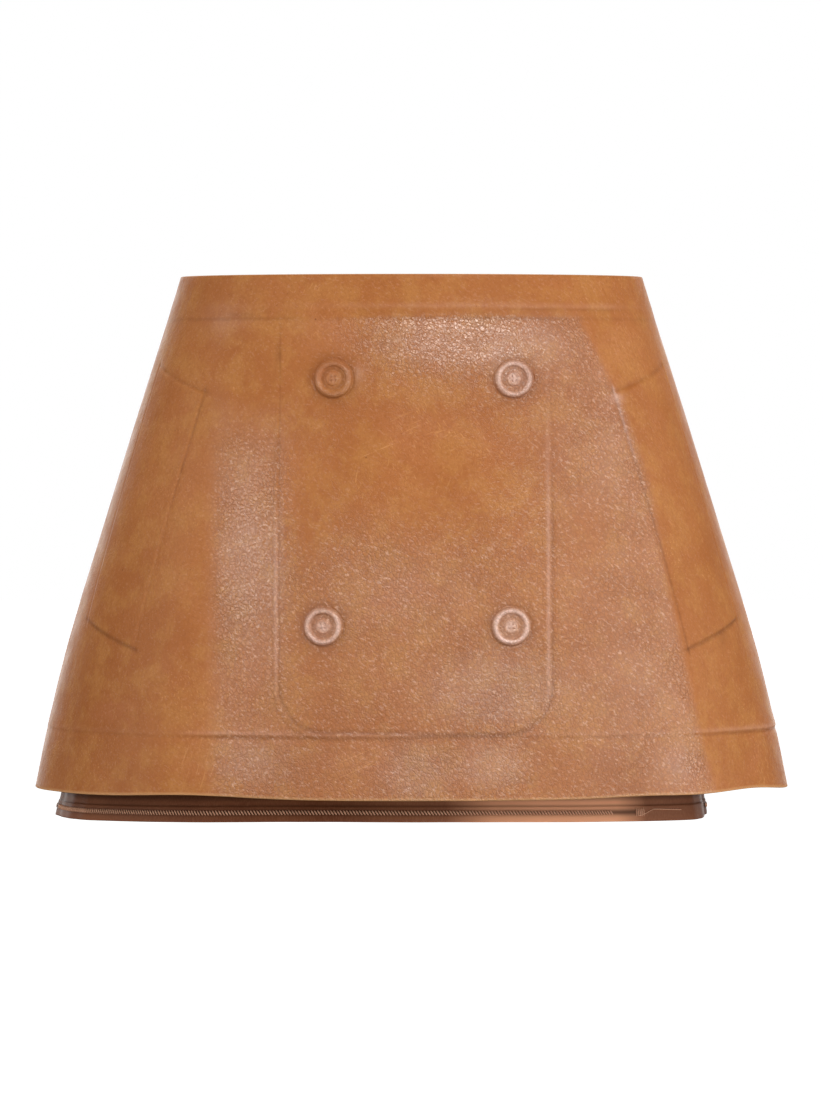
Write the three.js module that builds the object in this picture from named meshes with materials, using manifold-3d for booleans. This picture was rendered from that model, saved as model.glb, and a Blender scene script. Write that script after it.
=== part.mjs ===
// A flared leather mini skirt in its worn, hollow form, with nobody in it.
// Millimetres, +Z up. The front faces -Y and the wearer's left is at +X.
// The origin is the middle of the waist opening, level with the top edge.
import * as THREE from "three";
import Module from "manifold-3d";
import { mergeVertices } from "three/addons/utils/BufferGeometryUtils.js";

// Walls and gaps
const LEATHER = 1.8;
const LINING = 1;
const SEAM_GAP = 0.3;
const LINING_GAP = 0.4;

// Heights, from the top edge down
const LENGTH = 310;
const WAIST_LINE = -26.5;
const HEM_LINE = -273;
const LINING_TOP = -6;
const LINING_HEM = -326;

// The leather's outer face, a squared ellipse at each height
const LEATHER_SECTIONS = [
  { z: 0, halfWidth: 140.5, front: 98, back: 104, square: 2.1 },
  { z: -24, halfWidth: 147.8, front: 104, back: 111, square: 2.2 },
  { z: -80, halfWidth: 165.6, front: 118, back: 130, square: 2.3 },
  { z: -150, halfWidth: 187.2, front: 134, back: 150, square: 2.35 },
  { z: -220, halfWidth: 208.6, front: 149, back: 162, square: 2.3 },
  { z: -270, halfWidth: 221.1, front: 159, back: 168, square: 2.25 },
  { z: -LENGTH, halfWidth: 229.4, front: 166, back: 172, square: 2.2 },
];

// Soft folds of the hide: angle round the body from the centre front, in degrees
const FOLDS = [
  { angle: -40, spread: 8, out: 2.4, from: -60, full: -170 },
  { angle: -24, spread: 7, out: -1.2, from: -120, full: -250 },
  { angle: 17, spread: 6, out: -2, from: -225, full: -285 },
  { angle: 44, spread: 7, out: 2.8, from: -40, full: -180 },
  { angle: 62, spread: 6, out: -1.6, from: -190, full: -300 },
  { angle: -66, spread: 7, out: -1.5, from: -180, full: -300 },
  { angle: 132, spread: 9, out: 2.6, from: -60, full: -200 },
  { angle: 158, spread: 8, out: -2, from: -200, full: -300 },
  { angle: -136, spread: 9, out: 2.4, from: -60, full: -200 },
  { angle: -160, spread: 7, out: -1.8, from: -210, full: -300 },
];

// Where the hem rises above its level, as the cut edge wanders
const HEM_RISES = [
  { angle: -34, spread: 12, rise: 2.2 },
  { angle: 36, spread: 9, rise: 1.4 },
  { angle: 60, spread: 14, rise: 3 },
  { angle: -150, spread: 16, rise: 1.5 },
  { angle: 150, spread: 14, rise: 1.8 },
];

// The lining's hem, which hangs straighter than the leather and has slipped to one side
const LINING_HEM_SECTION = { halfWidth: 197.8, front: 138, back: 146, square: 2.2 };
const LINING_SLIP = -16.9;
const LINING_DIP = 2;
const LINING_WAVES = [
  { waves: 7, out: 1.6, turn: 20 },
  { waves: 11, out: 1.1, turn: 75 },
];
const LINING_TURN_UP = { height: 6, thickness: 0.5, step: 0.3 };

// Where the lining steps in behind the zip's tape
const TAPE_ROOM = { halfWidth: 30, ease: 12 };

// Raised edge of a moulded panel: distance inside its outline, and height
const EDGE_STEPS = [
  { inside: -4.5, height: 0 },
  { inside: -1.5, height: -0.35 },
  { inside: 1.2, height: 1.15 },
  { inside: 6, height: 0.6 },
];
const WAIST_STEPS = [
  { above: -4.5, height: 0 },
  { above: 0, height: -0.5 },
  { above: 3, height: 0.7 },
  { above: 8.5, height: 0.15 },
];
const HEM_STEPS = [
  { above: -5, height: 0 },
  { above: -1.2, height: -0.45 },
  { above: 1.4, height: 0.9 },
  { above: 11, height: 0 },
];

// Moulded double-breasted front
const PLACKET = { left: -78.4, right: 81.8, bottom: -271, corner: 27 };
const BUTTONS = [
  { side: -1, x: -46.3, z: -62.4 },
  { side: -1, x: -52, z: -208.3 },
  { side: 1, x: 60.4, z: -62.4 },
  { side: 1, x: 58.5, z: -208.3 },
];
const BUTTON_STEPS = [
  { radius: 13.2, height: 0 },
  { radius: 11.8, height: -0.5 },
  { radius: 10.6, height: 1.5 },
  { radius: 9.4, height: 2.2 },
  { radius: 8.2, height: 1.8 },
  { radius: 7, height: 0.5 },
  { radius: 4.8, height: 0.5 },
  { radius: 3.6, height: 1.3 },
  { radius: 0, height: 1.5 },
];
const BUTTON_BLOCK = { half: 14, cells: 6 };

// Moulded slanting pocket flaps: angles of the long edges, heights of the short ones
const FLAPS = [
  { side: -1, innerTop: 47, innerBottom: 49, outerTop: 71, outerBottom: 68 },
  { side: 1, innerTop: 45.5, innerBottom: 48.4, outerTop: 70.2, outerBottom: 68.1 },
];
const FLAP_TOP = -63;
const FLAP_BOTTOM = -214;
const FLAP_TILT = 15.5;

// Rows of the face near a flap's short edge, from that edge's raised steps outwards and inwards
const FLAP_ROWS = { before: 6, after: [9, 20] };

// Centre back zip
const ZIP = { top: -2, length: 180, tail: 8, reveal: 7, step: 1.2, tapeWidth: 26, tape: 0.8, curl: 0.2,
  chainWidth: 5.4, chain: 1.5, sunk: 0.05 };
const SLIDER = { z: -14, width: 8.4, length: 10, corner: 2, plate: 1.4, bridgeWidth: 2.2,
  bridgeLength: 8, bridgeHeight: 3.6, bridgeWall: 1.2 };
const PULL = { axisHeight: 2.6, thickness: 1.3, length: 27, width: 6.8, neckWidth: 5.6,
  eyeWidth: 3, eyeLength: 4.85, bar: 0.65, neck: 7.85, shoulder: 11.85 };

// How finely the plain walls are divided
const HALF_ROUND_CELLS = 26;
const INNER_ROWS = 11;
const LINING_ROWS = 8;
const QUARTER = Math.PI / 2;

const radians = (degrees) => (degrees * Math.PI) / 180;
const lerp = (a, b, t) => a + (b - a) * t;
const clamp = (value, low, high) => Math.min(high, Math.max(low, value));
const smooth = (t) => clamp(t, 0, 1) ** 2 * (3 - 2 * clamp(t, 0, 1));
const bell = (offset, spread) => Math.exp(-((offset / spread) ** 2));

// A smooth curve through a table's rows, by one named column.
function curveThrough(rows, key, column, at) {
  const ordered = rows[0][key] < rows[1][key] ? rows : [...rows].reverse();
  const last = ordered.length - 1;
  const place = clamp(at, ordered[0][key], ordered[last][key]);
  let i = 0;
  while (i < last - 1 && place > ordered[i + 1][key]) i += 1;
  const slopeAt = (k) => {
    const before = ordered[Math.max(k - 1, 0)];
    const after = ordered[Math.min(k + 1, last)];
    return (after[column] - before[column]) / (after[key] - before[key]);
  };
  const span = ordered[i + 1][key] - ordered[i][key];
  const t = (place - ordered[i][key]) / span;
  const ease = t * t * (3 - 2 * t);
  return (
    lerp(ordered[i][column], ordered[i + 1][column], ease) +
    span * (t * (1 - t) ** 2 * slopeAt(i) - t * t * (1 - t) * slopeAt(i + 1))
  );
}

// The height between a table's rows, easing from each one to the next.
function heightThrough(rows, key, at) {
  const ordered = rows[0][key] < rows[1][key] ? rows : [...rows].reverse();
  const next = ordered.findIndex((row) => row[key] >= at);
  if (next === 0) return ordered[0].height;
  if (next < 0) return ordered[ordered.length - 1].height;
  const [low, high] = [ordered[next - 1], ordered[next]];
  return lerp(low.height, high.height, smooth((at - low[key]) / (high[key] - low[key])));
}

function leatherSection(z) {
  const read = (column) => curveThrough(LEATHER_SECTIONS, "z", column, z);
  return {
    halfWidth: read("halfWidth"),
    front: read("front"),
    back: read("back"),
    square: read("square"),
  };
}

// A point of a squared ellipse, moved in along its normal. Angle 0 is the centre front.
function sectionPoint(section, angle, inset) {
  const [sine, cosine] = [Math.sin(angle), Math.cos(angle)];
  const depth = cosine > 0 ? section.front : section.back;
  const power = section.square;
  const reach = (Math.abs(sine) ** power + Math.abs(cosine) ** power) ** (-1 / power);
  const across = (Math.sign(sine) * Math.abs(sine * reach) ** (power - 1)) / section.halfWidth;
  const along = (-Math.sign(cosine) * Math.abs(cosine * reach) ** (power - 1)) / depth;
  const size = Math.hypot(across, along);
  return [
    section.halfWidth * sine * reach - (inset * across) / size,
    -depth * cosine * reach - (inset * along) / size,
  ];
}

// The angle round the front at which the leather has a given x.
function angleOfX(x, z) {
  const { halfWidth, square } = leatherSection(z);
  const share = Math.abs(x / halfWidth) ** square;
  return Math.sign(x) * Math.atan((share / (1 - share)) ** (1 / square));
}

const turnBetween = (angle, degrees) => {
  const turn = angle - radians(degrees);
  return Math.atan2(Math.sin(turn), Math.cos(turn));
};

function foldOut(angle, z) {
  return FOLDS.reduce((sum, fold) => {
    const depth = smooth((fold.from - z) / (fold.from - fold.full));
    return sum + fold.out * depth * bell(turnBetween(angle, fold.angle), radians(fold.spread));
  }, 0);
}

function leatherPoint(angle, z, inset) {
  const [x, y] = sectionPoint(leatherSection(z), angle, inset - foldOut(angle, z));
  return [x, y, z + hemRise(angle, z)];
}

function hemRise(angle, z) {
  const share = smooth((HEM_LINE - z) / (LENGTH + HEM_LINE));
  return HEM_RISES.reduce(
    (sum, row) => sum + share * row.rise * bell(turnBetween(angle, row.angle), radians(row.spread)),
    0,
  );
}

// The moulded relief

function flapEdges(side, z) {
  const flap = FLAPS.find((row) => row.side === side);
  const down = (FLAP_TOP - z) / (FLAP_TOP - FLAP_BOTTOM);
  const inner = radians(lerp(flap.innerTop, flap.innerBottom, down));
  const outer = radians(lerp(flap.outerTop, flap.outerBottom, down));
  const section = leatherSection(z);
  const [x0, y0] = sectionPoint(section, inner, 0);
  const [x1, y1] = sectionPoint(section, outer, 0);
  return { inner, outer, width: Math.hypot(x1 - x0, y1 - y0) };
}

function flapInside(angle, z) {
  const { inner, outer, width } = flapEdges(Math.sign(angle) || 1, z);
  const across = (Math.abs(angle) - inner) / (outer - inner);
  const lift = FLAP_TILT * (across - 0.5);
  const sideways = Math.min(across, 1 - across) * width;
  return Math.min(sideways, FLAP_TOP + lift - z, z - FLAP_BOTTOM - lift);
}

function placketInside(x, z) {
  const middle = (PLACKET.left + PLACKET.right) / 2;
  const fromSide = (PLACKET.right - PLACKET.left) / 2 - Math.abs(x - middle);
  const fromBottom = z - PLACKET.bottom;
  const { corner } = PLACKET;
  if (fromSide > corner || fromBottom > corner) return Math.min(fromSide, fromBottom);
  return corner - Math.hypot(corner - fromSide, corner - fromBottom);
}

function buttonHeight(x, z) {
  return BUTTONS.reduce((height, button) => {
    const radius = Math.hypot(x - button.x, z - button.z);
    return height + heightThrough(BUTTON_STEPS, "radius", radius);
  }, 0);
}

// Height of the moulding over the plain hide, at a place on the front.
function frontRelief(angle, z) {
  const [x] = sectionPoint(leatherSection(z), angle, 0);
  const belowWaist = smooth((WAIST_LINE - z) / -WAIST_STEPS[0].above);
  const placket = heightThrough(EDGE_STEPS, "inside", placketInside(x, z));
  const flap = heightThrough(EDGE_STEPS, "inside", flapInside(angle, z));
  return bandRelief(z) + belowWaist * placket + flap + buttonHeight(x, z);
}

// The waistband line and the hem line run all round.
function bandRelief(z) {
  return (
    heightThrough(WAIST_STEPS, "above", z - WAIST_LINE) +
    heightThrough(HEM_STEPS, "above", z - HEM_LINE)
  );
}

// A closed skin of points and triangles

class Skin {
  points = [];
  faces = [];

  add(point) {
    this.points.push(point);
    return this.points.length - 1;
  }

  // How far along a line of points each one lies, from 0 to 1.
  shares(line) {
    const runs = [0];
    for (let i = 1; i < line.length; i += 1) {
      const [a, b] = [this.points[line[i - 1]], this.points[line[i]]];
      runs.push(runs[i - 1] + Math.hypot(b[0] - a[0], b[1] - a[1], b[2] - a[2]));
    }
    return runs.map((run) => run / runs[runs.length - 1]);
  }

  // Triangles between an upper and a lower line that run from left to right, seen from outside.
  strip(upper, lower) {
    const [above, below] = [this.shares(upper), this.shares(lower)];
    let [i, j] = [0, 0];
    while (i < upper.length - 1 || j < lower.length - 1) {
      const lowerNext = j < lower.length - 1 && (i === upper.length - 1 || below[j + 1] <= above[i + 1]);
      if (lowerNext) {
        this.faces.push(upper[i], lower[j], lower[j + 1]);
        j += 1;
      } else {
        this.faces.push(upper[i], lower[j], upper[i + 1]);
        i += 1;
      }
    }
  }

  // Triangles between two rings with equally many points, both anticlockwise.
  ring(outer, inner) {
    outer.forEach((_, k) => {
      const next = (k + 1) % outer.length;
      this.faces.push(outer[k], outer[next], inner[next], outer[k], inner[next], inner[k]);
    });
  }

  cap(ring, centre) {
    ring.forEach((point, k) => this.faces.push(point, ring[(k + 1) % ring.length], centre));
  }

  // Turns a face's rows and the wall's inner rows into one closed wall.
  close(outerRows, innerRows) {
    const right = (row) => row[row.length - 1];
    const inward = [...innerRows].reverse();
    this.strip(outerRows[outerRows.length - 1], inward[0]);
    for (let k = 1; k < inward.length; k += 1) this.strip(inward[k - 1], inward[k]);
    this.strip(innerRows[0], outerRows[0]);
    this.strip(outerRows.map((row) => row[0]), innerRows.map((row) => row[0]));
    this.strip(innerRows.map(right), outerRows.map(right));
  }

  geometry() {
    const shape = new THREE.BufferGeometry();
    shape.setAttribute("position", new THREE.Float32BufferAttribute(this.points.flat(), 3));
    shape.setIndex(this.faces);
    shape.computeVertexNormals();
    return shape;
  }
}

const steps = (from, to, cells) => Array.from({ length: cells + 1 }, (_, k) => lerp(from, to, k / cells));

// The front hide

const sideSeamTurn = (depth) => SEAM_GAP / 2 / depth;
const angleAtX = (xAt) => (z) => angleOfX(xAt(z), z);

// The line down the face that lies a set distance inside a flap's inner or outer edge.
function flapLine(side, edge, inside) {
  return (z) => {
    const { inner, outer, width } = flapEdges(side, z);
    const share = (inside / width) * (outer - inner);
    return side * (edge === "inner" ? inner + share : outer - share);
  };
}

// The line down the face beside one side's two buttons.
function buttonLine(side, offset) {
  const [upper, lower] = BUTTONS.filter((button) => button.side === side);
  return angleAtX((z) => lerp(upper.x, lower.x, (upper.z - z) / (upper.z - lower.z)) + offset);
}

// Guide lines of one side of the front, from the side seam in, with the cells up to the next one.
function sideGuides(side) {
  const insides = EDGE_STEPS.map((step) => step.inside);
  const placketEdge = side < 0 ? PLACKET.left : PLACKET.right;
  const guides = [
    { at: (z) => side * (QUARTER - sideSeamTurn(leatherSection(z).front)), flap: 1, cells: 3 },
    ...insides.map((inside) => ({ at: flapLine(side, "outer", inside), flap: 1, cells: 1 })),
    ...[...insides].reverse().map((inside) => ({ at: flapLine(side, "inner", inside), flap: 1, cells: 1 })),
    ...insides.map((inside) => ({ at: angleAtX(() => placketEdge - side * inside), flap: 0, cells: 1 })),
    { at: buttonLine(side, side * BUTTON_BLOCK.half), flap: 0, cells: BUTTON_BLOCK.cells },
    { at: buttonLine(side, -side * BUTTON_BLOCK.half), flap: 0, cells: 0 },
  ];
  guides[insides.length].cells = 3;
  guides[2 * insides.length].cells = 3;
  return guides;
}

// Columns of the face: an angle at every height, how far it follows the flap, and its place across it.
function columnsBetween(side, guides) {
  const middle = (FLAP_TOP + FLAP_BOTTOM) / 2;
  const { inner, outer } = flapEdges(side, middle);
  const across = (at) => clamp((Math.abs(at(middle)) - inner) / (outer - inner), 0, 1);
  return guides.slice(0, -1).flatMap((guide, k) => {
    const next = guides[k + 1];
    return steps(0, 1, guide.cells).slice(0, -1).map((t) => {
      const at = (z) => lerp(guide.at(z), next.at(z), t);
      return { at, flap: lerp(guide.flap, next.flap, smooth(t)), across: across(at) };
    });
  });
}

function frontColumns() {
  const [left, right] = [sideGuides(-1), sideGuides(1)];
  const plain = { flap: 0, across: 0 };
  const [from, to] = [left[left.length - 1].at, right[right.length - 1].at];
  const middle = steps(0, 1, 5).map((t) => ({ ...plain, at: (z) => lerp(from(z), to(z), t) }));
  return [...columnsBetween(-1, left), ...middle, ...columnsBetween(1, right).reverse()];
}

// Rows of the face: a height in the middle, one on the flaps, and how far it tilts with them.
function frontRows() {
  const { half, cells } = BUTTON_BLOCK;
  const rows = [{ z: 0, flap: 0, tilt: 0 }];
  const extend = (z, flap, tilt, count) => {
    const last = rows[rows.length - 1];
    steps(0, 1, count).slice(1).forEach((t) => {
      rows.push({ z: lerp(last.z, z, t), flap: lerp(last.flap, flap, t), tilt: lerp(last.tilt, tilt, t) });
    });
  };
  const level = (z, count) => extend(z, z, 0, count);
  const outside = EDGE_STEPS.map((step) => -step.inside);
  const foot = outside[outside.length - 1];
  const reaches = [outside[0] + FLAP_ROWS.before, ...outside, ...FLAP_ROWS.after.map((row) => foot - row)];
  const [upper, lower] = [BUTTONS[0].z, BUTTONS[1].z];
  const drop = (2 * half) / cells;
  level(WAIST_LINE + WAIST_STEPS[3].above, 2);
  [2, 1, 0].forEach((k) => level(WAIST_LINE + WAIST_STEPS[k].above, 1));
  reaches.forEach((reach, k) => extend(upper + half - drop * k, FLAP_TOP + reach, 1, 1));
  reaches.reverse().forEach((reach, k) => {
    extend(lower + half - drop * k, FLAP_BOTTOM - reach, 1, k === 0 ? 6 : 1);
  });
  level(PLACKET.bottom + PLACKET.corner, 2);
  level(HEM_LINE + HEM_STEPS[3].above, 3);
  level(HEM_LINE + HEM_STEPS[2].above, 2);
  [1, 0].forEach((k) => level(HEM_LINE + HEM_STEPS[k].above, 1));
  level(-LENGTH, 2);
  return rows;
}

function frontFace(skin, columns, rows) {
  return rows.map((row) =>
    columns.map((column) => {
      const flap = row.flap + row.tilt * FLAP_TILT * (column.across - 0.5);
      const z = lerp(row.z, flap, column.flap);
      const angle = column.at(z);
      return skin.add(leatherPoint(angle, z, -frontRelief(angle, z)));
    }),
  );
}

// The ring of points round a block of cells, anticlockwise from its top left corner.
function blockRim(grid, top, left, cells) {
  const rim = [];
  for (let k = 0; k < cells; k += 1) rim.push(grid[top + k][left]);
  for (let k = 0; k < cells; k += 1) rim.push(grid[top + cells][left + k]);
  for (let k = 0; k < cells; k += 1) rim.push(grid[top + cells - k][left + cells]);
  for (let k = 0; k < cells; k += 1) rim.push(grid[top][left + cells - k]);
  return rim;
}

// One moulded button as rings of points that fill a block of cells.
function mouldButton(skin, button, rim) {
  let outer = rim;
  const turns = rim.map((index) => {
    const [x, , z] = skin.points[index];
    return Math.atan2(z - button.z, x - button.x);
  });
  const pointAt = (x, z) => {
    const angle = angleOfX(x, z);
    return skin.add(leatherPoint(angle, z, -frontRelief(angle, z)));
  };
  BUTTON_STEPS.slice(0, -1).forEach(({ radius }) => {
    const ring = turns.map((turn) =>
      pointAt(button.x + radius * Math.cos(turn), button.z + radius * Math.sin(turn)),
    );
    skin.ring(outer, ring);
    outer = ring;
  });
  skin.cap(outer, pointAt(button.x, button.z));
}

// Plain inner rows of a leather wall between two edge angles.
function innerLeather(skin, angleFrom, angleTo, cells) {
  const heights = steps(0, -LENGTH, INNER_ROWS);
  return heights.map((z) =>
    steps(angleFrom(z), angleTo(z), cells).map((angle) => skin.add(leatherPoint(angle, z, LEATHER))),
  );
}

// Where the four blocks of cells lie that the buttons fill.
function buttonBlocks(columns, rows) {
  const { half } = BUTTON_BLOCK;
  return BUTTONS.map((button) => {
    const edge = angleOfX(button.x - half, button.z);
    return {
      button,
      top: rows.findIndex((row) => Math.abs(row.z - button.z - half) < 1e-6),
      left: columns.findIndex((column) => Math.abs(column.at(button.z) - edge) < 1e-6),
    };
  });
}

function frontPanel() {
  const skin = new Skin();
  const [columns, rows] = [frontColumns(), frontRows()];
  const grid = frontFace(skin, columns, rows);
  const { cells } = BUTTON_BLOCK;
  const blocks = buttonBlocks(columns, rows);
  const inBlock = (i, j) =>
    blocks.some(({ top, left }) => i >= top && i < top + cells && j >= left && j < left + cells);
  for (let i = 0; i < rows.length - 1; i += 1) {
    for (let j = 0; j < columns.length - 1; j += 1) {
      if (inBlock(i, j)) continue;
      const [a, b, c, d] = [grid[i][j], grid[i + 1][j], grid[i + 1][j + 1], grid[i][j + 1]];
      skin.faces.push(a, b, c, a, c, d);
    }
  }
  blocks.forEach(({ button, top, left }) => mouldButton(skin, button, blockRim(grid, top, left, cells)));
  const inner = innerLeather(skin, columns[0].at, columns[columns.length - 1].at, HALF_ROUND_CELLS);
  skin.close(grid, inner);
  return skin.geometry();
}

// The back hides

function backRows() {
  const heights = [0];
  WAIST_STEPS.slice().reverse().forEach((step) => heights.push(WAIST_LINE + step.above));
  heights.push(...steps(WAIST_LINE + WAIST_STEPS[0].above, -ZIP.length, 6).slice(1));
  heights.push(-ZIP.length - ZIP.step);
  heights.push(...steps(-ZIP.length, HEM_LINE + HEM_STEPS[3].above, 4).slice(1));
  HEM_STEPS.slice(0, -1).reverse().forEach((step) => heights.push(HEM_LINE + step.above));
  heights.push(-LENGTH);
  return heights;
}

// One back hide, from the side seam to the centre back, where it makes room for the zip.
function backPanel(side) {
  const skin = new Skin();
  const sideSeam = (z) => QUARTER + sideSeamTurn(leatherSection(z).back);
  const centreBack = (z) => Math.PI - angleOfX(z >= -ZIP.length ? ZIP.reveal / 2 : SEAM_GAP / 2, z);
  const edges = side > 0 ? [sideSeam, centreBack] : [(z) => -centreBack(z), (z) => -sideSeam(z)];
  const cells = HALF_ROUND_CELLS / 2;
  const face = (z, inset) =>
    steps(edges[0](z), edges[1](z), cells).map((angle) => skin.add(leatherPoint(angle, z, inset)));
  const outer = backRows().map((z) => face(z, -bandRelief(z)));
  const inner = backRows().map((z) => face(z, LEATHER));
  for (let k = 1; k < outer.length; k += 1) skin.strip(outer[k - 1], outer[k]);
  skin.close(outer, inner);
  return skin.geometry();
}

// The lining

function liningPoint(angle, down, inset) {
  const fromCentreBack = Math.abs(Math.PI - Math.abs(angle)) * leatherSection(LINING_TOP).back;
  const room = smooth((TAPE_ROOM.halfWidth + TAPE_ROOM.ease - fromCentreBack) / TAPE_ROOM.ease);
  const gap = LINING_GAP + room * (ZIP.tape + 2 * SEAM_GAP);
  const top = leatherPoint(angle, LINING_TOP, LEATHER + gap + inset);
  const wave = LINING_WAVES.reduce(
    (sum, row) => sum + row.out * Math.sin(row.waves * angle + radians(row.turn)),
    0,
  );
  const [x, y] = sectionPoint(LINING_HEM_SECTION, angle, inset - wave);
  const hem = LINING_HEM + LINING_DIP * Math.cos(2 * angle);
  return [
    lerp(top[0], x + LINING_SLIP, down),
    lerp(top[1], y, down),
    lerp(LINING_TOP, hem, down),
  ];
}

// Half of the lining's tube, between its side seams, with its turned-up hem.
function liningPanel(centre) {
  const skin = new Skin();
  const seam = sideSeamTurn(leatherSection(LINING_TOP).front);
  const length = LINING_TOP - LINING_HEM;
  const turnUp = 1 - LINING_TURN_UP.height / length;
  const downs = [...steps(0, 1 - (2 * LINING_TURN_UP.height) / length, LINING_ROWS), turnUp];
  const angles = steps(centre - QUARTER + seam, centre + QUARTER - seam, HALF_ROUND_CELLS);
  const row = (down, inset) => angles.map((angle) => skin.add(liningPoint(angle, down, inset)));
  const outer = downs.map((down) => row(down, 0));
  outer.push(row(turnUp + LINING_TURN_UP.step / length, -LINING_TURN_UP.thickness));
  outer.push(row(1, -LINING_TURN_UP.thickness));
  const inner = [...downs, 1].map((down) => row(down, LINING));
  for (let k = 1; k < outer.length; k += 1) skin.strip(outer[k - 1], outer[k]);
  skin.close(outer, inner);
  return skin.geometry();
}

// The zip

const backCentre = (z, inset) => leatherPoint(Math.PI, z, inset)[1];

// The tape behind the back hides. Its chain of teeth stands in the gap between them and sinks at its end.
function zipTape() {
  const skin = new Skin();
  const [wide, narrow] = [ZIP.tapeWidth / 2, ZIP.chainWidth / 2];
  const [front, behind] = [LEATHER + SEAM_GAP, LEATHER + SEAM_GAP + ZIP.tape];
  const outline = (chain) => [
    { x: wide, inset: behind },
    { x: -wide, inset: behind },
    { x: -wide, inset: front },
    { x: -narrow, inset: front },
    { x: -narrow, inset: front - chain },
    { x: narrow, inset: front - chain },
    { x: narrow, inset: front },
    { x: wide, inset: front },
  ];
  const curl = (x) => (x / wide) ** 2 * ZIP.curl;
  const ringAt = (z, chain) =>
    outline(chain).map(({ x, inset }) => skin.add([x, backCentre(z, inset) - curl(x), z]));
  const rings = steps(ZIP.top, -ZIP.length + ZIP.chain, 10).map((z) => ringAt(z, ZIP.chain));
  rings.push(ringAt(-ZIP.length + SEAM_GAP, ZIP.sunk), ringAt(-ZIP.length - ZIP.tail, ZIP.sunk));
  for (let k = 1; k < rings.length; k += 1) skin.ring(rings[k - 1], rings[k]);
  const fan = (ring, corners, flip) => {
    for (let k = 1; k < corners.length - 1; k += 1) {
      const [b, c] = flip ? [k, k + 1] : [k + 1, k];
      skin.faces.push(ring[corners[0]], ring[corners[b]], ring[corners[c]]);
    }
  };
  [rings[0], rings[rings.length - 1]].forEach((ring, end) => {
    fan(ring, [0, 1, 2, 3, 6, 7], end === 1);
    fan(ring, [3, 4, 5, 6], end === 1);
  });
  return skin.geometry();
}

const wasm = await Module();
wasm.setup();

function solidOf(geometry) {
  geometry.deleteAttribute("normal");
  geometry.deleteAttribute("uv");
  const merged = mergeVertices(geometry, 1e-4);
  const vertProperties = merged.attributes.position.array;
  return new wasm.Manifold(
    new wasm.Mesh({ numProp: 3, vertProperties, triVerts: new Uint32Array(merged.index.array) }),
  );
}

function geometryOf(solid) {
  const { vertProperties, triVerts } = solid.getMesh();
  const shape = new THREE.BufferGeometry();
  shape.setAttribute("position", new THREE.BufferAttribute(new Float32Array(vertProperties), 3));
  shape.setIndex(new THREE.BufferAttribute(new Uint32Array(triVerts), 1));
  return shape;
}

// An outline in x and z, extruded outwards along y from one height to another.
function slab(outline, from, to) {
  const options = { depth: to - from, bevelEnabled: false, curveSegments: 6 };
  const shape = new THREE.ExtrudeGeometry(outline, options);
  shape.rotateX(QUARTER);
  shape.translate(0, to, 0);
  return shape;
}

function roundedPlate(wide, tall, corner) {
  const outline = new THREE.Shape();
  outline.absarc(wide - corner, tall - corner, corner, 0, QUARTER);
  outline.absarc(corner - wide, tall - corner, corner, QUARTER, 2 * QUARTER);
  outline.absarc(corner - wide, corner - tall, corner, 2 * QUARTER, 3 * QUARTER);
  outline.absarc(wide - corner, corner - tall, corner, 3 * QUARTER, 4 * QUARTER);
  return outline;
}

// The slider's plate with a bridge that the pull tab hangs from.
function zipSlider() {
  const { width, length, corner, plate, bridgeWidth, bridgeLength, bridgeHeight, bridgeWall } = SLIDER;
  const body = solidOf(slab(roundedPlate(width / 2, length / 2, corner), 0, plate));
  const arch = new THREE.Shape();
  const [reach, top] = [bridgeLength / 2, plate + bridgeHeight];
  arch.moveTo(-reach, plate / 2);
  arch.lineTo(reach, plate / 2);
  arch.lineTo(reach, top - bridgeWall);
  arch.lineTo(reach - bridgeWall, top);
  arch.lineTo(bridgeWall - reach, top);
  arch.lineTo(-reach, top - bridgeWall);
  arch.closePath();
  const [gapReach, gapTop] = [reach - bridgeWall, top - bridgeWall];
  const gap = new THREE.Path();
  gap.moveTo(-gapReach, plate);
  gap.lineTo(-gapReach, gapTop);
  gap.lineTo(gapReach, gapTop);
  gap.lineTo(gapReach, plate);
  gap.closePath();
  arch.holes.push(gap);
  const bridge = new THREE.ExtrudeGeometry(arch, { depth: bridgeWidth, bevelEnabled: false });
  bridge.translate(0, 0, -bridgeWidth / 2);
  bridge.rotateY(-QUARTER);
  return geometryOf(body.add(solidOf(bridge)));
}

// The pull tab: an eye round the slider's bridge and a plain rounded tongue.
function zipPull() {
  const { axisHeight, thickness, length, eyeWidth, eyeLength, bar, neck, shoulder } = PULL;
  const outline = new THREE.Shape();
  const [narrow, wide] = [PULL.neckWidth / 2, PULL.width / 2];
  outline.moveTo(-narrow, bar);
  outline.lineTo(-narrow, -neck);
  outline.lineTo(-wide, -shoulder);
  outline.absarc(0, wide - length, wide, Math.PI, 2 * Math.PI, false);
  outline.lineTo(wide, -shoulder);
  outline.lineTo(narrow, -neck);
  outline.lineTo(narrow, bar);
  outline.closePath();
  const eye = new THREE.Path();
  eye.moveTo(-eyeWidth / 2, -bar);
  eye.lineTo(eyeWidth / 2, -bar);
  eye.lineTo(eyeWidth / 2, -bar - eyeLength);
  eye.lineTo(-eyeWidth / 2, -bar - eyeLength);
  eye.closePath();
  outline.holes.push(eye);
  return slab(outline, axisHeight - thickness / 2, axisHeight + thickness / 2);
}

// The slider's own frame: out of the back along y, up the hide's slope along z.
function zipHardware() {
  const group = new THREE.Group();
  const reach = SLIDER.length / 2;
  const run = backCentre(SLIDER.z - reach, 0) - backCentre(SLIDER.z + reach, 0);
  group.position.set(0, backCentre(SLIDER.z, 0) + SEAM_GAP, SLIDER.z);
  group.rotation.x = Math.atan2(run, 2 * reach);
  return group;
}

// Materials and the finished skirt

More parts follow.
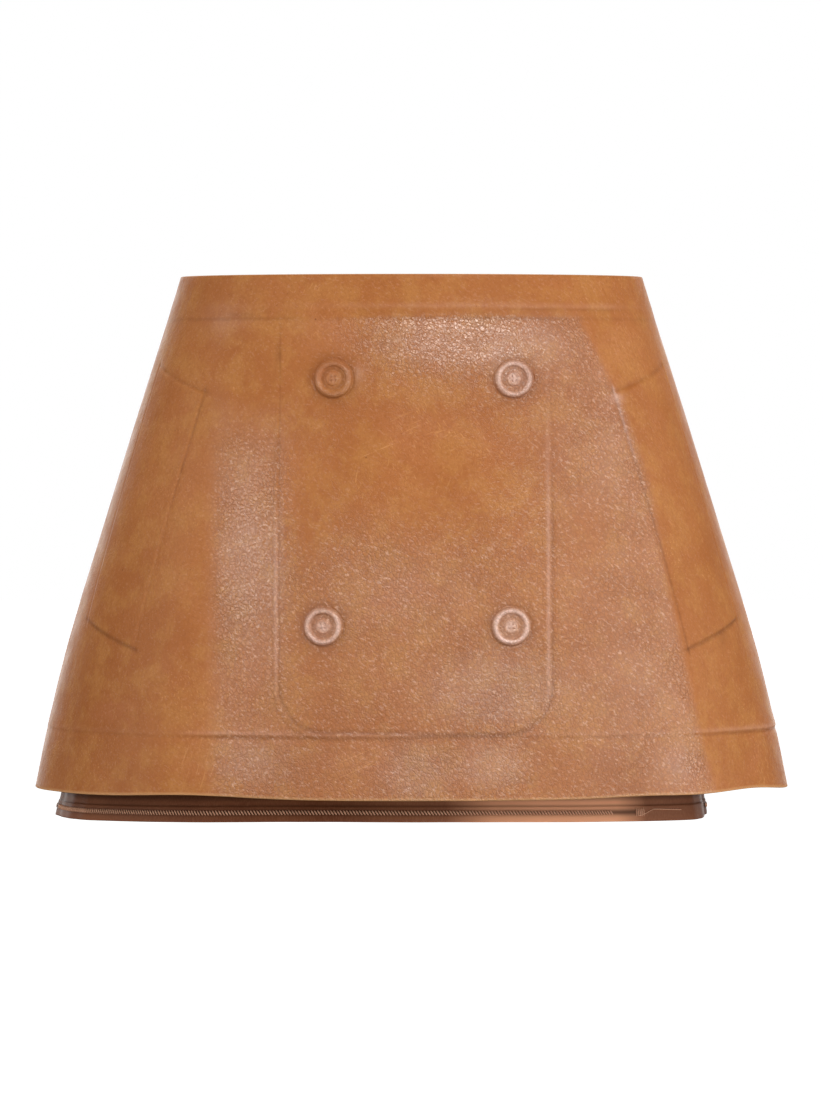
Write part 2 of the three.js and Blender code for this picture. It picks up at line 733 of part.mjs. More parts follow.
const hide = () => new THREE.MeshStandardMaterial({ color: 0xb0703f, roughness: 0.42, metalness: 0 });
const satin = () => new THREE.MeshStandardMaterial({ color: 0x6b4430, roughness: 0.35, metalness: 0 });
const tapeCloth = () => new THREE.MeshStandardMaterial({ color: 0x5a3a26, roughness: 0.8, metalness: 0 });
const metal = () => new THREE.MeshStandardMaterial({ color: 0x9c7c4a, roughness: 0.35, metalness: 1 });

function named(name, geometry, material) {
  const mesh = new THREE.Mesh(geometry, material);
  mesh.name = name;
  return mesh;
}

const skirt = new THREE.Group();
skirt.add(named("front", frontPanel(), hide()));
skirt.add(named("back_left", backPanel(1), hide()));
skirt.add(named("back_right", backPanel(-1), hide()));
skirt.add(named("lining_front", liningPanel(0), satin()));
skirt.add(named("lining_back", liningPanel(Math.PI), satin()));
skirt.add(named("zip_tape", zipTape(), tapeCloth()));
const hardware = zipHardware();
hardware.add(named("zip_slider", zipSlider(), metal()));
hardware.add(named("zip_pull", zipPull(), metal()));
skirt.add(hardware);

export default skirt;
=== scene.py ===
"""Looks of a flared tan leather mini skirt with a moulded front, a satin lining and a centre back zip.

Lengths in the tables and in the shape functions are millimetres. Each mesh is turned to metres as it is
made. Tables that follow the front give x from the centre front and z up from the waist. In names, left and
right are as the photo shows them, apart from the back pieces, which go by the wearer's.
"""

import math

import bmesh
import bpy
import numpy as np
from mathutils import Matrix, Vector


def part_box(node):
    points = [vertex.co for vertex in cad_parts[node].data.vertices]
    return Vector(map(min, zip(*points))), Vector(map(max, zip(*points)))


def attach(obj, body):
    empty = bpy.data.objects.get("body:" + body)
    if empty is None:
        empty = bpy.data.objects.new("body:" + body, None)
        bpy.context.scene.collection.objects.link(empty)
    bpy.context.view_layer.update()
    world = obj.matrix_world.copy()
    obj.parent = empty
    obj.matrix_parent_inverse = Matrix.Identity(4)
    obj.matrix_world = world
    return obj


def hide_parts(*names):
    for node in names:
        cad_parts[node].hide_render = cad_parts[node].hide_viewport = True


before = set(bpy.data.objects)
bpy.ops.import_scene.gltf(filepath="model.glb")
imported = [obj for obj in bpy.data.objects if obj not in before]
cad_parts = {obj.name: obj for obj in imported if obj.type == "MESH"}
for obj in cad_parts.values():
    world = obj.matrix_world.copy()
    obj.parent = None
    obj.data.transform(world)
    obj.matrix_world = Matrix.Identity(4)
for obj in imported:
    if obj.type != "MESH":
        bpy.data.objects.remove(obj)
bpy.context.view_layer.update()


def table(columns, *rows):
    """Rows of values under named columns."""
    return [dict(zip(columns.split(), row)) for row in rows]


MM = 0.001
LENGTH = -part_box("front")[0].z / MM
SKIRT, PULL_BODY = "skirt", "pull"

# Walls, lines and edges
LEATHER = 1.8
LINING = 0.8
SEAM_GAP = 0.05
TAPE_GAP = 0.3
LINING_GAP = 0.5
WAIST_LINE = -26.5
HEM_LINE = -273
LINING_TOP = -6
LINING_HEM = -326
EDGE_ROUND = 0.5

# The leather's outer face, a squared ellipse at each height
LEATHER_SECTIONS = table(
    "z half_width front back square",
    (0, 140.5, 98, 104, 2.1),
    (-24, 147.8, 104, 111, 2.2),
    (-80, 165.6, 118, 130, 2.3),
    (-150, 187.2, 134, 150, 2.35),
    (-220, 208.6, 149, 162, 2.3),
    (-270, 221.1, 159, 168, 2.25),
    (-310, 229.4, 166, 172, 2.2),
)

# Soft folds of the hide: angle round the body from the centre front, in degrees, and the heights between
# which each one grows
FOLDS = table(
    "angle spread out from full",
    (-40, 8, 2.4, -60, -170),
    (-24, 7, -1.2, -120, -250),
    (17, 6, -2, -225, -285),
    (44, 7, 2.8, -40, -180),
    (62, 6, -1.6, -190, -300),
    (-66, 7, -1.5, -180, -300),
    (132, 9, 2.6, -60, -200),
    (158, 8, -2, -200, -300),
    (-136, 9, 2.4, -60, -200),
    (-160, 7, -1.8, -210, -300),
)

# Where the hem rises above its level
HEM_RISES = table(
    "angle spread rise", (-34, 12, 2.2), (36, 9, 1.4), (60, 14, 3), (-150, 16, 1.5), (150, 14, 1.8)
)

# The lining's hem, which hangs straighter than the leather and has slipped to one side
LINING_HEM_SECTION = {"half_width": 197.8, "front": 138, "back": 146, "square": 2.2}
LINING_SLIP = -16.9
LINING_DIP = 2
LINING_WAVES = table("count out turn", (7, 1.6, 20), (11, 1.1, 75))
# Small soft folds of the satin, whose start and drift down the skirt are radians
LINING_FOLDS = table("count out start drift", (23, 0.3, 0.7, 0), (37, 0.21, 2.1, 1.5))
LINING_CELLS = {"across": 320, "down": 35, "turn_up": 37, "inside": 4}
TURN_UP = {"height": 9, "thickness": 0.45, "step": 0.5, "round": 0.5}
TAPE_ROOM = {"half_width": 30, "ease": 12}

# Soft swells and hollows of the front
SWELLS = table(
    "x z across along out",
    (-5, -158, 95, 46, 1.7),
    (36, -14, 46, 18, -0.8),
    (36, -62, 50, 20, 1.2),
    (118, -150, 26, 70, -0.7),
    (-88, -180, 16, 60, 0.8),
    (5, -292, 26, 11, -0.7),
    (52, -296, 14, 8, 0.6),
    (65, -299, 8, 3, -0.8),
    (160, -296, 18, 12, -0.6),
    (-100, -292, 26, 10, -0.5),
    (36, -312, 7, 4, -0.7),
    (128, -196, 16, 22, 0.6),
)

# Where the hide's wax is glossier or duller than elsewhere on the front
GLOSS = {"level": 0.42, "band": -0.4, "back": 0.5, "least": 0.03, "lost": 0.85}
BUTTON_GLOSS = {"all": 0.1, "pale": 0.7}
GLOSS_PATCHES = table(
    "x z across along more",
    (36, -41, 52, 15, 0.85),
    (5, -112, 62, 38, -0.42),
    (-20, -186, 60, 26, 0.28),
    (50, -246, 36, 20, 0.95),
    (118, -120, 30, 60, 0.3),
    (108, -150, 16, 22, -0.25),
    (140, -240, 34, 50, 0.25),
    (-95, -165, 20, 62, 0.6),
    (-62, -160, 12, 60, -0.2),
    (-70, -48, 50, 40, -0.35),
    (-100, -62, 26, 40, -0.3),
    (2, -294, 16, 14, 0.9),
    (47, -290, 18, 11, 0.9),
    (-98, -288, 24, 12, 0.55),
    (160, -292, 14, 12, 0.35),
)
# The edge on the wearer's left past which the wax is dull: depth below the waist, and x
GLOSS_EDGE = [(30, 98), (75, 121), (124, 137), (200, 150), (282, 168), (310, 176)]

# Small places of the front painted darker or paler than the hide round them; the dark ones are painted shade
# in dents and creases
MARKS = table(
    "x z across along dark pale",
    (-79, -48, 1.8, 7, 0.5, 0),
    (-79, -105, 1.8, 9, 0.6, 0),
    (-102, -24, 8, 1.4, 0.5, 0),
    (65, -299, 10, 2.2, 0.4, 0),
    (36, -314, 8, 1.5, 0.3, 0),
    (187, -217, 3, 5, 0.5, 0),
    (141, -190, 3, 3, 0.4, 0),
    (-100, -262, 22, 5, 0.12, 0),
    (-160, -268, 30, 8, 0.1, 0),
    (122, -74, 4, 3, 0, 0.35),
    (-31, -60, 2, 6, 0, 0.3),
    (-112, -26, 14, 9, 0, 0.1),
    (-14, -38, 16, 12, 0, 0.06),
)

# Relief: distance inside an outline or above a line, and height
LEFT_STEPS = [(-5, 0), (-1.3, 0.7), (0.4, 0.1), (3.5, 0.55), (6, 0.5)]
RIGHT_STEPS = [(-4.5, 0), (-1.4, -0.3), (1.3, 0.75), (6, 0.5)]
FLAP_STEPS = [(-4, 0), (-0.9, -0.4), (1, 0.6), (6, 0.45)]
WAIST_STEPS = [(-6, 0), (0, -0.5), (7, 0.75), (16, 0.5)]
HEM_STEPS = [(-5, 0), (-1, -0.5), (1.1, 0.5), (11, 0)]
BUTTON_STEPS = [
    (0, 1.5), (3.6, 1.3), (4.8, 0.5), (7, 0.5), (8.2, 1.8), (9.4, 2.2), (10.6, 1.5), (11.8, -0.5), (13.2, 0),
]

# The waistband line and the hem line: x, and how dark the line's painted shade is there
WAIST_MARKS = [
    (-150, 0.15), (-112, 0.75), (-84, 0.6), (-60, 0.1), (0, 0.45), (60, 0.6), (100, 0.35), (150, 0.2),
]
HEM_MARKS = [
    (-222, 0.1), (-140, 0.15), (-118, 0.75), (-82, 0.8), (-50, 0.35), (20, 0.45), (60, 0.2), (110, 0.3),
    (160, 0.25), (186, 0.75), (222, 0.9),
]

# Spans over which a look sets in, from nothing at the first number to all of it at the second. First come
# heights, then places across, then distances
FADES = {
    "below_waist": (WAIST_LINE, WAIST_LINE - 4.5),
    "placket": (-70, -180),
    "placket_corner": (-240, -248),
    "placket_rub_and_highlight": (-262, -232),
    "placket_left_rub_and_highlight": (-175, -130),
    "left_flap_flat": (-100, -150),
    "right_flap_flat": (-90, -130),
    "left_flap_faint": (-115, -155),
    "right_flap_rub_and_highlight": (-120, -100),
    "gloss_band": (WAIST_LINE - 2, WAIST_LINE + 4),
    "placket_left": (10, -10),
    "waist_sharp": (-75, 15),
    "round_the_side": (112, 140),
    "second_line": (40, 80),
    "gloss_right": (-108, -124),
    "gloss_left": (0, 7),
    "row_end": (134, 138),
    "near_flap": (-6, -3),
    "leather_shade": (11.5, 14.5),
}

PLACKET = {"left": -78.4, "right": 81.8, "bottom": -271, "corner": 27}
# pale: how much rub and painted highlight each button's rim and dome get, and how much glossier they are
BUTTONS = table(
    "side x z pale",
    (-1, -46.3, -62.4, 0.08),
    (-1, -52, -208.3, 0.75),
    (1, 60.4, -62.4, 0.85),
    (1, 58.5, -208.3, 1),
)
BUTTON_HOLES = {"count": 4, "first": 45, "reach": 1.7, "size": 0.7, "depth": 0.55}
BUTTON_BLOCK = {"half": 14, "cells": 24, "rings": 36, "middle": 0.3}
FLAPS = {
    -1: {"inner_top": 47, "inner_bottom": 49, "outer_top": 71, "outer_bottom": 68},
    1: {"inner_top": 45.5, "inner_bottom": 48.4, "outer_top": 70.2, "outer_bottom": 68.1},
}
FLAP_TOP, FLAP_BOTTOM, FLAP_TILT = -63, -214, 15.5

# Where mesh lines run beside the moulded edges, and how many cells lie between them
GUIDES = [-4.5, -1.5, 1.2, 6]
WAIST_ROWS = [8.5, 3, 0, -4.5]
HEM_ROWS = [11, 1.4, -1.2, -5]
FLAP_ROWS = {"before": 6, "after": (9, 20)}
GUIDE_CELLS = {"seam": 10, "beside": 6, "flap": 18, "panel": 24, "placket": 5, "centre": 24}
ROW_CELLS = {
    "waist": (10, 7, 7, 7), "buttons": 8, "middle": 48, "placket": 14, "hem": (26, 13, 6, 6), "edge": 20,
}
FLESH_CELLS = {"down": 39, "front": 60, "back": 30}

# Centre back zip
ZIP = {"top": -2, "length": 180, "tail": 8, "reveal": 7, "step": 1.2, "tape_width": 26, "tape": 0.6}
TEETH = {
    "pitch": 1.6, "width": 3.1, "height": 0.9, "out": 1.3, "offset": 1.05, "from_top": 2, "short_of_end": 8,
    "taper": 0.72, "bevel": 0.16,
}
HARDWARE = {"flat": 2, "sharp": 40, "bevel": 0.22}

# Stitches. Each stands above its cloth by its lift
CAPSULE = {"sides": 6, "rings": 5, "end": 0.08, "blunt": 0.6}
LINING_STITCH = {
    "pitch": 1.9, "length": 3.3, "radius": 0.48, "lift": 0.24, "slant": 52, "above": 5.6, "to": 42,
}
LINING_TACK = {"x": 134, "stitches": 5, "pitch": 1.1, "length": 5, "radius": 0.48, "lift": 0.24}
LINING_TAIL = {
    "from": 136, "to": 162, "low": 2, "rise": 4, "pitch": 0.9, "length": 1.8, "radius": 0.3, "lift": 0.3,
}
ZIP_STITCH = {
    "pitch": 3.4, "length": 2.5, "radius": 0.38, "lift": 0.133, "from_edge": 3, "top": -4, "end": 2,
}
# The satin's painted highlight along the front: x, and how pale it is painted there
LINING_PAINTED_SHINE = [
    (-215, 0.1), (-60, 0.0), (20, 0.15), (48, 0.8), (75, 1.0), (122, 1.0), (140, 0.15), (185, 0.05),
]


# Shape functions

def ease(t):
    t = np.clip(t, 0, 1)
    return t * t * (3 - 2 * t)


def lerp(a, b, t):
    return a + (b - a) * t


def bell(offset, spread):
    return np.exp(-((offset / spread) ** 2))


def fade(name, value):
    start, end = FADES[name]
    return ease((value - start) / (end - start))


def near_angle(angle, row):
    """How near an angle is to a row's own, in a bell round the body."""
    turn = angle - math.radians(row["angle"])
    return bell(np.arctan2(np.sin(turn), np.cos(turn)), math.radians(row["spread"]))


def spots(rows, column, x, z):
    """The sum of a table's round spots, each strongest at its middle."""
    total = 0
    for row in rows:
        away = np.hypot((x - row["x"]) / row["across"], (z - row["z"]) / row["along"])
        total = total + row[column] * bell(away, 1)
    return total


def level_along(pairs, at):
    places, levels = zip(*pairs)
    return np.interp(at, places, levels)


def place_in(places, at):
    """The step of a rising list in which a value falls, and its share of that step."""
    at = np.clip(at, places[0], places[-1])
    i = np.clip(np.searchsorted(places, at, side="right") - 1, 0, len(places) - 2)
    return i, (at - places[i]) / (places[i + 1] - places[i])


def curve_through(rows, column, z):
    """A smooth curve through one named column of a table whose rows go down."""
    heights = np.array([row["z"] for row in rows], float)[::-1]
    values = np.array([row[column] for row in rows], float)[::-1]
    ends = np.diff(values) / np.diff(heights)
    inner = (values[2:] - values[:-2]) / (heights[2:] - heights[:-2])
    slopes = np.concatenate([ends[:1], inner, ends[-1:]])
    i, t = place_in(heights, z)
    bend = t * (1 - t) ** 2 * slopes[i] - t * t * (1 - t) * slopes[i + 1]
    return lerp(values[i], values[i + 1], ease(t)) + (heights[i + 1] - heights[i]) * bend


def height_through(steps, at):
    """The height between a table's rows, easing from each one to the next."""
    places, heights = np.array(steps, float).T
    i, t = place_in(places, at)
    return lerp(heights[i], heights[i + 1], ease(t))


def leather_section(z):
    columns = ("half_width", "front", "back", "square")
    return {column: curve_through(LEATHER_SECTIONS, column, z) for column in columns}


def section_point(section, angle, inset):
    """A point of a squared ellipse, moved in along its normal. Angle 0 is the centre front."""
    sine, cosine = np.sin(angle), np.cos(angle)
    depth = np.where(cosine > 0, section["front"], section["back"])
    power = section["square"]
    reach = (np.abs(sine) ** power + np.abs(cosine) ** power) ** (-1 / power)
    across = np.sign(sine) * np.abs(sine * reach) ** (power - 1) / section["half_width"]
    along = -np.sign(cosine) * np.abs(cosine * reach) ** (power - 1) / depth
    size = np.hypot(across, along)
    x = section["half_width"] * sine * reach - inset * across / size
    y = -depth * cosine * reach - inset * along / size
    return x, y


def x_of_angle(angle, z):
    return section_point(leather_section(z), angle, 0)[0]


def angle_of_x(x, z):
    section = leather_section(z)
    share = np.abs(x / section["half_width"]) ** section["square"]
    return np.sign(x) * np.arctan((share / (1 - share)) ** (1 / section["square"]))


def fold_out(angle, z):
    total = 0
    for fold in FOLDS:
        depth = ease((fold["from"] - z) / (fold["from"] - fold["full"]))
        total = total + fold["out"] * depth * near_angle(angle, fold)
    return total


def hem_rise(angle, z):
    total = sum(row["rise"] * near_angle(angle, row) for row in HEM_RISES)
    return total * ease((HEM_LINE - z) / (LENGTH + HEM_LINE))


def leather_point(angle, z, inset):
    angle, z = np.broadcast_arrays(np.asarray(angle, float), np.asarray(z, float))
    x, y = section_point(leather_section(z), angle, inset - fold_out(angle, z))
    return np.stack([x, y, z + hem_rise(angle, z)], axis=-1)


# The moulded relief: each part gives its height, its painted shade, and its rub and painted highlight

def flap_edges(side, z):
    flap = FLAPS[side]
    down = (FLAP_TOP - z) / (FLAP_TOP - FLAP_BOTTOM)
    inner = np.radians(lerp(flap["inner_top"], flap["inner_bottom"], down))
    outer = np.radians(lerp(flap["outer_top"], flap["outer_bottom"], down))
    section = leather_section(z)
    x0, y0 = section_point(section, inner, 0)
    x1, y1 = section_point(section, outer, 0)
    return inner, outer, np.hypot(x1 - x0, y1 - y0)


def flap_distances(angle, z):
    """Distances inside a flap's inner, outer, top and bottom edges."""
    left, right = flap_edges(-1, z), flap_edges(1, z)
    inner, outer, width = (np.where(angle < 0, a, b) for a, b in zip(left, right))
    across = (np.abs(angle) - inner) / (outer - inner)
    lift = FLAP_TILT * (across - 0.5)
    return across * width, (1 - across) * width, FLAP_TOP + lift - z, z - FLAP_BOTTOM - lift


def flap_relief(angle, z):
    inner, outer, top, bottom = flap_distances(angle, z)
    inside = np.minimum(np.minimum(inner, outer), np.minimum(top, bottom))
    near = fade("near_flap", inside)
    on_left_side = angle < 0
    left_raised = lerp(0.7, 0.35, fade("left_flap_flat", z))
    raised = np.where(on_left_side, left_raised, lerp(1, 0.7, fade("right_flap_flat", z)))
    inner_dark = np.where(on_left_side, lerp(0.65, 0.15, fade("left_flap_faint", z)), 0.65)
    # dark is painted shade along the flap's edges, strongest under its bottom edge; pale is rub and painted
    # highlight on its ridges
    dark = inner_dark * bell(inner + 0.9, 0.9) + 0.3 * bell(outer + 0.9, 0.8)
    dark = dark + 0.45 * bell(top + 1, 1.2) + 0.9 * bell(bottom + 1, 1.3)
    right_rub_and_highlight = fade("right_flap_rub_and_highlight", z) * bell(inner + 0.3, 0.7)
    pale = np.where(on_left_side, bell(outer - 0.5, 0.7), right_rub_and_highlight)
    return raised * height_through(FLAP_STEPS, inside), near * dark, 0.3 * near * pale


def placket_inside(x, z):
    middle = (PLACKET["left"] + PLACKET["right"]) / 2
    from_side = (PLACKET["right"] - PLACKET["left"]) / 2 - np.abs(x - middle)
    from_bottom = z - PLACKET["bottom"]
    corner = PLACKET["corner"]
    plain = np.minimum(from_side, from_bottom)
    rounded = corner - np.hypot(corner - from_side, corner - from_bottom)
    return np.where((from_side > corner) | (from_bottom > corner), plain, rounded)


def placket_relief(x, z):
    inside = placket_inside(x, z)
    leftward, below_waist = fade("placket_left", x), fade("below_waist", z)
    in_corner = leftward * fade("placket_corner", z)
    strength = lerp(0.18, 1, fade("placket", z)) * below_waist
    edge = lerp(height_through(RIGHT_STEPS, inside), height_through(LEFT_STEPS, inside), leftward)
    # left_dark and dark are painted shade along the placket's edges, with a little over the whole waistband;
    # pale is rub and painted highlight on its ridges
    left_dark = bell((inside - 0.4) / lerp(0.7, 1.2, in_corner), 1)
    dark = lerp(bell(inside + 1.4, 1), left_dark, leftward) * lerp(0.6, 0.8, in_corner)
    dark = dark * np.maximum(strength, 0.7 * leftward * below_waist)
    rub_and_highlight_share = strength * fade("placket_rub_and_highlight", z) * (1 - leftward * fade("placket_left_rub_and_highlight", z))
    pale = lerp(bell(inside - 1.3, 1.2), bell(inside + 1.4, 1), leftward)
    return strength * edge, dark + 0.1 * (1 - below_waist), 0.3 * rub_and_highlight_share * pale


def nearest_button(x, z):
    """Distance to the middle of the nearest button, and how pale that button's high places are painted, as
    rub and painted highlight.
    """
    radii = np.array([np.hypot(x - button["x"], z - button["z"]) for button in BUTTONS])
    pale = np.array([button["pale"] for button in BUTTONS])
    return np.min(radii, axis=0), pale[np.argmin(radii, axis=0)]


def button_holes(x, z):
    total = 0
    for button in BUTTONS:
        for turn in range(BUTTON_HOLES["count"]):
            way = math.radians(BUTTON_HOLES["first"] + 360 / BUTTON_HOLES["count"] * turn)
            across = x - button["x"] - BUTTON_HOLES["reach"] * math.cos(way)
            up = z - button["z"] - BUTTON_HOLES["reach"] * math.sin(way)
            total = total + bell(np.hypot(across, up), BUTTON_HOLES["size"])
    return total


def button_relief(x, z):
    radius, pale = nearest_button(x, z)
    holes = button_holes(x, z)
    in_holes = np.clip(holes, 0, 1)
    height = height_through(BUTTON_STEPS, radius) - BUTTON_HOLES["depth"] * holes
    # Painted shade in the halo round the button, the ring inside its rim and its holes; rub and painted
    # highlight on its rim and dome
    dark = 0.5 * bell(radius - 13, 3) + 0.75 * bell(radius - 6, 1.2) + 0.6 * in_holes
    return height, dark, pale * (bell(radius - 9.2, 1.7) + bell(radius, 4) * (1 - 0.5 * in_holes))


def band_relief(z, sharp, waist_dark=0.5, hem_dark=0.4):
    """The waistband line and the hem line, which run all round, with painted shade in their grooves and rub
    and painted highlight on their ridges.
    """
    height = sharp * height_through(WAIST_STEPS, z - WAIST_LINE)
    height = height + (0.15 + 0.85 * hem_dark) * height_through(HEM_STEPS, z - HEM_LINE)
    crease = 0.8 * waist_dark * bell(z - WAIST_LINE, 1.1) + 0.7 * hem_dark * bell(z - HEM_LINE + 1, 0.8)
    rub = 0.1 * sharp * bell(z - WAIST_LINE - 7.5, 1.5) + 0.2 * hem_dark * bell(z - HEM_LINE - 1.6, 1.5)
    return height, crease, rub


def swells_and_painted_marks(x, z):
    """The front's swells, its small painted dark and pale places, and the painted shade of a second
    waistband line on the wearer's left.
    """
    beside_flap = fade("second_line", x) * (1 - fade("round_the_side", x))
    second_line = 0.4 * beside_flap * bell(z - WAIST_LINE - 5.5, 0.8)
    return spots(SWELLS, "out", x, z), second_line + spots(MARKS, "dark", x, z), spots(MARKS, "pale", x, z)


def front_relief(angle, z):
    x = x_of_angle(angle, z)
    sharp = lerp(0.2, 1, fade("waist_sharp", x)) * (1 - 0.85 * fade("round_the_side", np.abs(x)))
    bands = band_relief(z, sharp, level_along(WAIST_MARKS, x), level_along(HEM_MARKS, x))
    parts = (bands, swells_and_painted_marks(x, z), placket_relief(x, z), flap_relief(angle, z), button_relief(x, z))
    return tuple(sum(values) for values in zip(*parts))


def back_relief(angle, z):
    """The back's lines, with the hide rolled in along the centre back seam and the zip, painted shade where
    it rolls in, and rub and painted highlight on the seam's ridge.
    """
    height, crease, rub = band_relief(z, 0.6)
    opening = ZIP["reveal"] / 2 * above_zip_end(z)
    from_edge = np.abs(x_of_angle(angle, z)) - opening
    roll = 0.7 * bell(from_edge, 1.3)
    seam = 0.5 * bell(from_edge - 4.5, 2.2) * (1 - ease((z + ZIP["length"]) / 3))
    return height - roll + 0.3 * seam, crease + 0.8 * roll, rub + 0.3 * seam


def above_zip_end(z):
    return ease((z + ZIP["length"] + ZIP["step"]) / ZIP["step"])


def front_gloss(angle, z):
    x = x_of_angle(angle, z)
    total = GLOSS["level"] + GLOSS["band"] * fade("gloss_band", z) + spots(GLOSS_PATCHES, "more", x, z)
    total = total * (1 - GLOSS["lost"] * fade("gloss_left", x - level_along(GLOSS_EDGE, -z)))
    total = total * (1 - GLOSS["lost"] * fade("gloss_right", x))
    radius, pale = nearest_button(x, z)
    on_button = bell(radius - 9.3, 1.4) + bell(radius, 4)
    total = total + (BUTTON_GLOSS["all"] + BUTTON_GLOSS["pale"] * pale) * on_button
    return np.clip(total, GLOSS["least"], 1)


def back_gloss(angle, z):
    return np.full_like(z, GLOSS["back"])


# Meshes

class Skin:
    """A closed wall of points and faces, with values at the points for its material."""

    def __init__(self, *values):
        self.points = []
        self.faces = []
        self.values = {name: [] for name in values}
        self.count = 0

    def add(self, points, **values):
        """Adds a grid or line of points and returns their numbers in the same layout."""
        shape = points.shape[:-1]
        flat = points.reshape(-1, 3)
        self.points.append(flat)
        for name, kept in self.values.items():
            kept.append(np.broadcast_to(values.get(name, 0), shape).astype(float).ravel())
        numbers = np.arange(self.count, self.count + len(flat)).reshape(shape)
        self.count += len(flat)
        return numbers

    def quads(self, grid, keep=None):
        """Faces of a grid whose rows go down and whose columns go right, seen from outside."""
        a, b, c, d = grid[:-1, :-1], grid[1:, :-1], grid[1:, 1:], grid[:-1, 1:]
        faces = np.stack([a, b, c, d], axis=-1)
        faces = faces.reshape(-1, 4) if keep is None else faces[keep]
        self.faces.extend(faces.tolist())

    def shares(self, line):
        runs = run_along(np.concatenate(self.points)[line])
        return runs / runs[-1]

    def strip(self, upper, lower):
        """Triangles between two lines with unlike numbers of points."""
        above, below = self.shares(upper), self.shares(lower)
        i, j = 0, 0
        while i < len(upper) - 1 or j < len(lower) - 1:
            if j < len(lower) - 1 and (i == len(upper) - 1 or below[j + 1] <= above[i + 1]):
                self.faces.append([int(upper[i]), int(lower[j]), int(lower[j + 1])])
                j += 1
            else:
                self.faces.append([int(upper[i]), int(lower[j]), int(upper[i + 1])])
                i += 1

    def ring(self, outer, inner):
        """Faces between two rings with equally many points, both anticlockwise."""
        after_outer, after_inner = np.roll(outer, -1), np.roll(inner, -1)
        self.faces.extend(np.stack([outer, after_outer, after_inner, inner], axis=-1).tolist())

    def wall(self, outer, inner):
        """Closes an outer and an inner grid into one wall."""
        self.strip(outer[-1], inner[-1])
        self.quads(inner[::-1])
        self.strip(inner[0], outer[0])
        self.strip(outer[:, 0], inner[:, 0])
        self.strip(inner[:, -1], outer[:, -1])

    def build(self, name, body, material):
        mesh = bpy.data.meshes.new(name)
        mesh.from_pydata((np.concatenate(self.points) * MM).tolist(), [], self.faces)
        for value, kept in self.values.items():
            layer = mesh.attributes.new(value, "FLOAT", "POINT")
            layer.data.foreach_set("value", np.concatenate(kept).astype(np.float32))
        return finish_mesh(mesh, name, body, material)


def run_along(points):
    """How far along a line of points each one lies."""
    return np.concatenate([[0], np.cumsum(np.linalg.norm(np.diff(points, axis=0), axis=1))])


def finish_mesh(mesh, name, body, material):
    mesh.validate()
    mesh.shade_smooth()
    mesh.materials.append(material)
    piece = bpy.data.objects.new(name, mesh)
    bpy.context.scene.collection.objects.link(piece)
    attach(piece, body)
    return piece


# Hides

def seam_dip(angle, z):
    """How far the hide rolls in at its side seams."""
    section = leather_section(z)
    from_side = np.abs(np.abs(angle) - math.pi / 2) * (section["front"] + section["back"]) / 2
    return 0.9 * bell(from_side, 1.5)


def add_face(skin, angle, z, relief, gloss):
    height, crease, rub = relief(angle, z)
    dip = seam_dip(angle, z)
    cut = ease((EDGE_ROUND + 0.3 - LENGTH - z) / 0.3)
    # Painted shade of grooves, dents and the rolled-in side seams goes into one value; rub and painted
    # highlight into another
    values = {"crease": crease + 0.5 * dip, "rub": rub, "cut": cut, "gloss": gloss(angle, z)}
    return skin.add(leather_point(angle, z, dip - height), **values)


def rounded_rims(skin, angle, face):
    """Adds the rounded cut edges above and below a face's grid of points."""
    soft = EDGE_ROUND * 0.3
    profile = [(soft, soft), (EDGE_ROUND, 0), (LEATHER - EDGE_ROUND, 0), (LEATHER - soft, soft)]

    def rim(at, edge, way):
        lines = []
        for inset, drop in profile:
            z = edge + way * drop
            lines.append(skin.add(leather_point(at, z, inset + seam_dip(at, z)), cut=1.0))
        return lines

    above = rim(angle[0], 0.0, -1)
    below = rim(angle[-1], -LENGTH, 1)
    return np.stack([*reversed(above), *face, *below])


def inner_face(skin, left, right, heights, cells):
    """The plain flesh side between two edge angles, each given at the same heights."""
    z = np.linspace(-EDGE_ROUND, EDGE_ROUND - LENGTH, FLESH_CELLS["down"] + 1)
    order = np.argsort(heights)
    from_angle = np.interp(z, heights[order], left[order])
    to_angle = np.interp(z, heights[order], right[order])
    angle = lerp(from_angle[:, None], to_angle[:, None], np.linspace(0, 1, cells + 1))
    return skin.add(leather_point(angle, z[:, None], LEATHER), flesh=1.0)


def close_hide(skin, angle, z, face, cells):
    """Rounds a hide's cut edges and closes it with its flesh side."""
    whole = rounded_rims(skin, angle, face)
    skin.quads(whole[:5])
    skin.quads(whole[-5:])
    skin.wall(whole, inner_face(skin, angle[:, 0], angle[:, -1], z, cells))


# The front hide

def between(first, last, share):
    """The line at a share of the way from one line to another. A line gives its angle at each height."""
    return lambda z: lerp(first(z), last(z), share)


